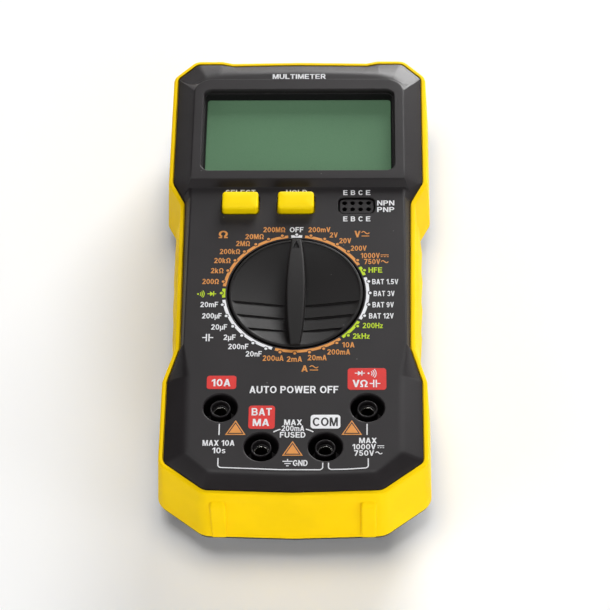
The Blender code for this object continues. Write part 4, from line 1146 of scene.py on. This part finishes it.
def diode_sign(ink, x, y, width, height, z=INK_Z):
    """Diode: an arrowhead against a bar, on a line."""
    stroke(ink, [(x - width / 2, y), (x + width / 2, y)], 0.3, z)
    tip = x + width * 0.2
    flat(ink, [(x - width * 0.2, y + height / 2), (tip, y), (x - width * 0.2, y - height / 2)],
         (z[0] + 0.001, z[1] + 0.001))
    stroke(ink, [(tip, y + height / 2), (tip, y - height / 2)], 0.36, (z[0] + 0.002, z[1] + 0.002))


def sound_sign(ink, x, y, width, z=INK_Z):
    """Continuity: a dot with three sound waves."""
    flat(ink, circle(0.32, 12, (x - width / 2 + 0.3, y)), z)
    for index in (1, 2, 3):
        radius = width * (0.18 + 0.2 * index)
        stroke(ink, arc(x - width / 2 + 0.2, y, radius, 50, 130), 0.28, z)


def capacitor_sign(ink, x, y, width, height, z=INK_Z):
    """Capacitor: two bars across a line."""
    for side in (-1, 1):
        bar_x = x + side * width * 0.12
        stroke(ink, [(bar_x, y - height / 2), (bar_x, y + height / 2)], 0.42, z)
        stroke(ink, [(bar_x, y), (x + side * width / 2, y)], 0.36, (z[0] + 0.001, z[1] + 0.001))


def dial_ring():
    """Coloured band round the dial, with a dot at each position."""
    groups = [("white", 0, 0), ("orange", 1, 5), ("lime", 6, 6), ("white", 7, 10),
              ("lime", 11, 12), ("orange", 13, 17), ("white", 18, 23), ("lime", 24, 24),
              ("orange", 25, 31)]
    pitch = 360 / POSITIONS
    inner, outer, notch, dots, gap = 21.95, 22.98, 22.5, 23.2, 1.2
    for ink, first, last in groups:
        start, end = (first - 0.5) * pitch + gap, (last + 0.5) * pitch - gap
        edge = []
        for position in range(first, last + 1):
            middle = position * pitch
            for angle, radius in ((-1.9, outer), (-1.2, notch), (1.2, notch), (1.9, outer)):
                edge.append((math.radians(middle + angle), radius))
        marks = [(math.radians(start), outer), *edge, (math.radians(end), outer)]
        outline = []
        for (a, ra), (b, rb) in zip(marks, marks[1:]):
            steps = max(1, round(math.degrees(b - a) / 1.5))
            for step in range(steps):
                angle = a + (b - a) * step / steps
                radius = ra + (rb - ra) * step / steps
                outline.append((radius * math.sin(angle), radius * math.cos(angle)))
        outline.append((outer * math.sin(math.radians(end)), outer * math.cos(math.radians(end))))
        back = arc(0, 0, inner, end, start, max(4, round((end - start) / 1.5)))
        flat(ink, outline + back)
        for position in range(first, last + 1):
            angle = math.radians(position * pitch)
            flat(ink, circle(0.47, 14, (dots * math.sin(angle), dots * math.cos(angle))))


def range_names():
    """Names of the ranges round the dial, and the quantities that they measure."""
    for ink, body, x, y, width in (
            ("white", "OFF", -0.06, 25.18, 4.38), ("orange", "200mV", 7.16, 25.16, 6.98),
            ("orange", "2V", 11.71, 23.02, 2.56), ("orange", "20V", 15.36, 20.70, 3.80),
            ("orange", "200V", 19.60, 17.69, 5.04), ("orange", "1000V", 23.27, 14.75, 6.00),
            ("orange", "750V", 23.86, 12.35, 5.07), ("lime", "HFE", 24.84, 9.00, 4.28),
            ("white", "BAT 1.5V", 27.91, 4.39, 8.16), ("white", "BAT 3V", 27.54, -0.26, 6.53),
            ("white", "BAT 9V", 27.22, -4.61, 6.65), ("white", "BAT 12V", 26.62, -8.92, 7.67),
            ("lime", "200Hz", 23.96, -12.64, 6.25), ("lime", "2kHz", 20.40, -16.68, 5.19),
            ("orange", "10A", 16.43, -20.00, 3.83), ("orange", "200mA", 13.47, -22.69, 7.06),
            ("orange", "20mA", 6.90, -24.85, 5.84), ("orange", "2mA", -0.08, -25.39, 4.72),
            ("orange", "200uA", -6.60, -25.03, 6.43), ("white", "20nF", -12.57, -23.38, 5.00),
            ("white", "200nF", -17.39, -20.60, 6.23), ("white", "2µF", -20.15, -17.07, 3.80),
            ("white", "20µF", -23.49, -13.14, 4.99),
            ("white", "200µF", -25.89, -8.84, 6.10), ("white", "20mF", -26.85, -4.43, 5.57),
            ("orange", "200Ω", -26.71, 4.56, 5.19), ("orange", "2kΩ", -24.78, 8.84, 4.01),
            ("orange", "20kΩ", -23.26, 12.86, 5.18),
            ("orange", "200kΩ", -20.98, 16.46, 6.44),
            ("orange", "2MΩ", -16.92, 19.63, 4.46),
            ("orange", "20MΩ", -13.34, 22.42, 5.90),
            ("orange", "200MΩ", -7.13, 25.20, 6.99)):
        lettering(ink, body, x, y, width)
    lettering("orange", "Ω", -23.29, 23.31, 3.07, 2.97)
    lettering("orange", "V", 19.25, 23.38, 1.86, 2.61)
    both_sign("orange", 21.76, 23.44, 2.42, 2.25)
    lettering("orange", "A", 3.10, -28.95, 1.96, 2.41)
    both_sign("orange", 5.97, -28.75, 2.57, 2.01)
    direct_sign("orange", 27.79, 14.63, 2.58)
    stroke("orange", wave(27.78, 12.3, 2.3, 0.8), 0.3)
    diode_sign("lime", -26.17, -0.28, 2.75, 1.9)
    sound_sign("lime", -29.46, -0.36, 2.6)
    capacitor_sign("white", -26.89, -17.20, 3.4, 2.8)


def panel_names():
    """Names beside the keys, the transistor socket and the display."""
    for y in (29.54, 40.32):
        for index, letter in enumerate("EBCE"):
            lettering("white", letter, 19.03 + (index - 1.5) * 2.42, y, 1.42, 2.0)
    lettering("white", "NPN", 28.27, 36.04, 5.50, 2.05)
    lettering("white", "PNP", 28.25, 33.34, 5.49, 2.0)
    lettering("white", "SELECT", -18.24, 40.5, 9.72, 2.1)
    lettering("white", "HOLD", -0.23, 40.45, 6.78, 2.1)
    lettering("white", "AUTO POWER OFF", -0.06, -36.80, 27.05, 2.67)
    lettering("white", "MULTIMETER", -0.03, 90.05, 17.65, 2.1)


OVER_Z = (INK_Z[1] + 0.004, INK_Z[1] + 0.03)


def jack_names():
    """Labels of the input jacks and the limits printed between them."""
    flat("red", rectangle(9.0, 4.96, 0.9, (-22.12, -34.10)))
    lettering("white", "10A", -22.30, -34.22, 5.83, 2.68, OVER_Z)
    flat("red", rectangle(11.78, 8.1, 1.0, (22.13, -32.86)))
    diode_sign("white", 19.96, -30.72, 3.1, 1.8, OVER_Z)
    sound_sign("white", 23.86, -30.8, 3.1, OVER_Z)
    lettering("white", "V", 18.80, -34.57, 2.15, 2.7, OVER_Z)
    lettering("white", "Ω", 21.19, -34.57, 2.46, 2.7, OVER_Z)
    capacitor_sign("white", 24.56, -34.57, 3.3, 2.8, OVER_Z)
    flat("red", rectangle(7.99, 8.51, 1.0, (-9.64, -46.97)))
    lettering("white", "BAT", -9.66, -45.00, 6.10, 2.69, OVER_Z)
    lettering("white", "MA", -9.80, -48.89, 4.98, 2.62, OVER_Z)
    flat("white", rectangle(8.98, 5.02, 1.0, (9.61, -48.60)))
    lettering("dark", "COM", 9.54, -48.65, 7.6, 3.15, OVER_Z)
    for body, x, y, width in (("MAX", -0.15, -48.84, 5.39), ("200mA", -0.17, -51.02, 6.85),
                              ("FUSED", -0.20, -53.37, 7.71)):
        lettering("white", body, x, y, width)
    stroke("white", [(-6.0, -52.35), (-4.9, -51.75), (-3.9, -51.35)], 0.4)
    stroke("white", [(3.75, -51.3), (4.8, -51.7), (6.0, -52.3)], 0.4)
    for x, low in ((-17.43, -53.4), (-0.18, -60.9), (17.54, -53.4)):
        flat("orange", [(x - 3.1, low), (x, low + 5.35), (x + 3.1, low)])
        dark = [(x - 2.5, low + 0.37), (x, low + 4.7), (x + 2.5, low + 0.37)]
        flat("dark", dark, OVER_Z)
        light = [(x - 1.95, low + 0.69), (x, low + 4.05), (x + 1.95, low + 0.69)]
        flat("orange", light, [z + 0.03 for z in OVER_Z])
    for x in (-22.32, 22.11):
        stroke("white", [(x, -53.4), (x, -49.4)], 0.37)
    lettering("white", "MAX 10A", -22.37, -56.30, 9.6)
    lettering("white", "10s", -22.20, -59.00, 4.0)
    lettering("white", "MAX", 22.35, -55.43, 5.27, 1.95)
    lettering("white", "1000V", 21.2, -57.69, 7.0, 1.95)
    direct_sign("white", 26.2, -57.7, 2.0)
    lettering("white", "750V", 21.2, -59.94, 6.0, 1.95)
    stroke("white", wave(25.6, -59.9, 2.0, 0.75), 0.3)
    earth_x, earth_y = -1.6, -63.3
    stroke("white", [(earth_x, earth_y + 1.2), (earth_x, earth_y + 0.4)], 0.34)
    for index, half in enumerate((1.5, 0.95, 0.4)):
        y = earth_y + 0.4 - 0.8 * index
        stroke("white", [(earth_x - half, y), (earth_x + half, y)], 0.34)
    lettering("white", "GND", 2.2, -63.5, 4.4, 2.1)
    left = [(-22.35, -61.7), (-22.35, -64.2), *arc(-21.35, -64.1, 1.0, 265, 185, 5),
            (-12, -65.5), (-4, -65.85), (4, -65.9), *arc(7.9, -64.9, 1.0, 175, 95, 5), (8.9, -63.4)]
    stroke("white", left, 0.36)
    right = [(10.61, -63.4), *arc(11.6, -64.8, 1.0, 265, 190, 5), (16, -65.7),
             *arc(21.45, -64.3, 1.0, 170, 95, 5), (22.44, -61.8)]
    stroke("white", right, 0.36)


def printing():
    """All the print, one piece for each ink."""
    dial_ring()
    range_names()
    panel_names()
    jack_names()
    for ink, meshes in prints.items():
        mesh = together(*meshes)
        placed(mesh)
        mesh.name = "print_" + ink
        made = bpy.data.objects.new("print_" + ink, mesh)
        bpy.context.scene.collection.objects.link(made)
        mesh.materials.append(INKS[ink])
        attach(made, "meter")


# --- build ------------------------------------------------------------------------------------

front_case()
window_shade_liner()
boot()
back_case()
cover()
stand()
for key_name in KEY_X:
    key_piece(key_name)
transistor_holes()
for jack_name, jack_at in JACKS.items():
    jack_tube(jack_name, jack_at)
dial_knob()
for number, screw_at in enumerate(CASE_SCREWS, 1):
    screw_piece(f"case_screw_{number}", screw_at, head_z=FOOT_STANDOFF + 0.5, head_r=2.7,
                head_height=1.8, shank_r=1.3, tip_z=27.0)
screw_piece("battery_cover_screw", (0, COVER_SCREW_Y), head_z=FOOT_STANDOFF + 0.2, head_r=2.3,
            head_height=1.1, shank_r=1.0, tip_z=11.5)
for number, foot_at in enumerate(FEET, 1):
    foot_piece(f"foot_{number}", foot_at)
printing()

CARRIED = {
    CLEAR: ["display_lens"], LCD: ["lcd_glass"], BOARD: ["circuit_board"],
    WHITE: ["lcd_frame", "contact_rotor", "detent_ring", "select_switch", "hold_switch"],
    GREY_RUBBER: ["zebra_strip_upper", "zebra_strip_lower"],
    BRASS: ["wiper_contact_1", "wiper_contact_2", "wiper_contact_3"],
    STEEL: ["detent_ball_right", "detent_ball_left", "detent_spring_right",
            "detent_spring_left", "select_spring", "hold_spring", "fuse_clip_left",
            "fuse_clip_right", "current_shunt", "board_screw_1", "board_screw_2",
            "board_screw_3", "board_screw_4"],
    BLACK: ["buzzer", "measuring_chip", "supply_capacitor"], BLUE: ["trimmer"],
    FILM: ["range_capacitor"], FUSE_GLASS: ["fuse"], JACKET: ["battery"],
    RUBBER: ["battery_snap"], RED_WIRE: ["battery_lead_positive"],
    BLACK_WIRE: ["battery_lead_negative"],
}
for look, names in CARRIED.items():
    for name in names:
        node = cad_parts[name]
        node.data.materials.clear()
        node.data.materials.append(look)


# --- floor, light and camera ------------------------------------------------------------------

def studio():
    """Pale floor, five soft lights and a surround that is brighter on the right and low down."""
    floor_mesh = bpy.data.meshes.new("floor")
    half = 6.0
    floor_mesh.from_pydata([(-half, -half, 0), (half, -half, 0), (half, half, 0),
                            (-half, half, 0)], [], [(0, 1, 2, 3)])
    floor = bpy.data.objects.new("floor", floor_mesh)
    bpy.context.scene.collection.objects.link(floor)
    floor_mesh.materials.append(finish("floor_paper", (0.97, 0.97, 0.97), 0.9, specular=0.1,
                                       vary=0.01, bump=0.02, mottle=3.0))
    for name, place, size, power in (
            ("key", (0.5, 1.55, 0.48), 0.9, 44.0),
            ("front", (0.45, -1.65, 0.2), 0.6, 14.0),
            ("right", (1.6, -0.8, 0.4), 0.7, 9.0),
            ("left", (-1.3, -0.75, 0.75), 0.8, 5.0),
            ("top", (-0.15, 0.1, 1.7), 0.9, 14.0)):
        light = bpy.data.lights.new(name, "AREA")
        light.size = size
        light.energy = power
        holder = bpy.data.objects.new(name, light)
        bpy.context.scene.collection.objects.link(holder)
        holder.location = place
        holder.rotation_euler = (-Vector(place)).to_track_quat("-Z", "Y").to_euler()
    world = bpy.data.worlds.new("surround")
    bpy.context.scene.world = world
    world.use_nodes = True
    tree = world.node_tree
    sky = tree.nodes["Background"]
    place = tree.nodes.new("ShaderNodeTexCoord")
    split = tree.nodes.new("ShaderNodeSeparateXYZ")
    link(tree, place, "Generated", split, "Vector")
    side = ranged(tree, split, "X", (-0.9, 0.9), (0.22, 1.55), smooth=True)
    height = ranged(tree, split, "Z", (0.1, 0.75), (1.5, 0.75), smooth=True)
    both = product(tree, (side, "Result"), (height, "Result"))
    link(tree, both, "Value", sky, "Strength")


def camera():
    """The camera, above the foot end of the meter."""
    lens = bpy.data.cameras.new("camera")
    lens.lens = 160.55
    lens.sensor_width = 36.0
    eye = bpy.data.objects.new("camera", lens)
    bpy.context.scene.collection.objects.link(eye)
    turn = (Matrix.Rotation(math.radians(1.98762), 4, "Z")
            @ Matrix.Rotation(math.radians(36.9187), 4, "X")
            @ Matrix.Rotation(math.radians(-1.66699), 4, "Z"))
    spot = Vector((0.02055, -0.51199, 0.67562)) + DIAL + Vector((0, 0, PANEL_Z * MM))
    eye.matrix_world = Matrix.Translation(spot) @ turn
    bpy.context.scene.camera = eye


studio()
camera()
bpy.context.scene.view_settings.view_transform = "Standard"
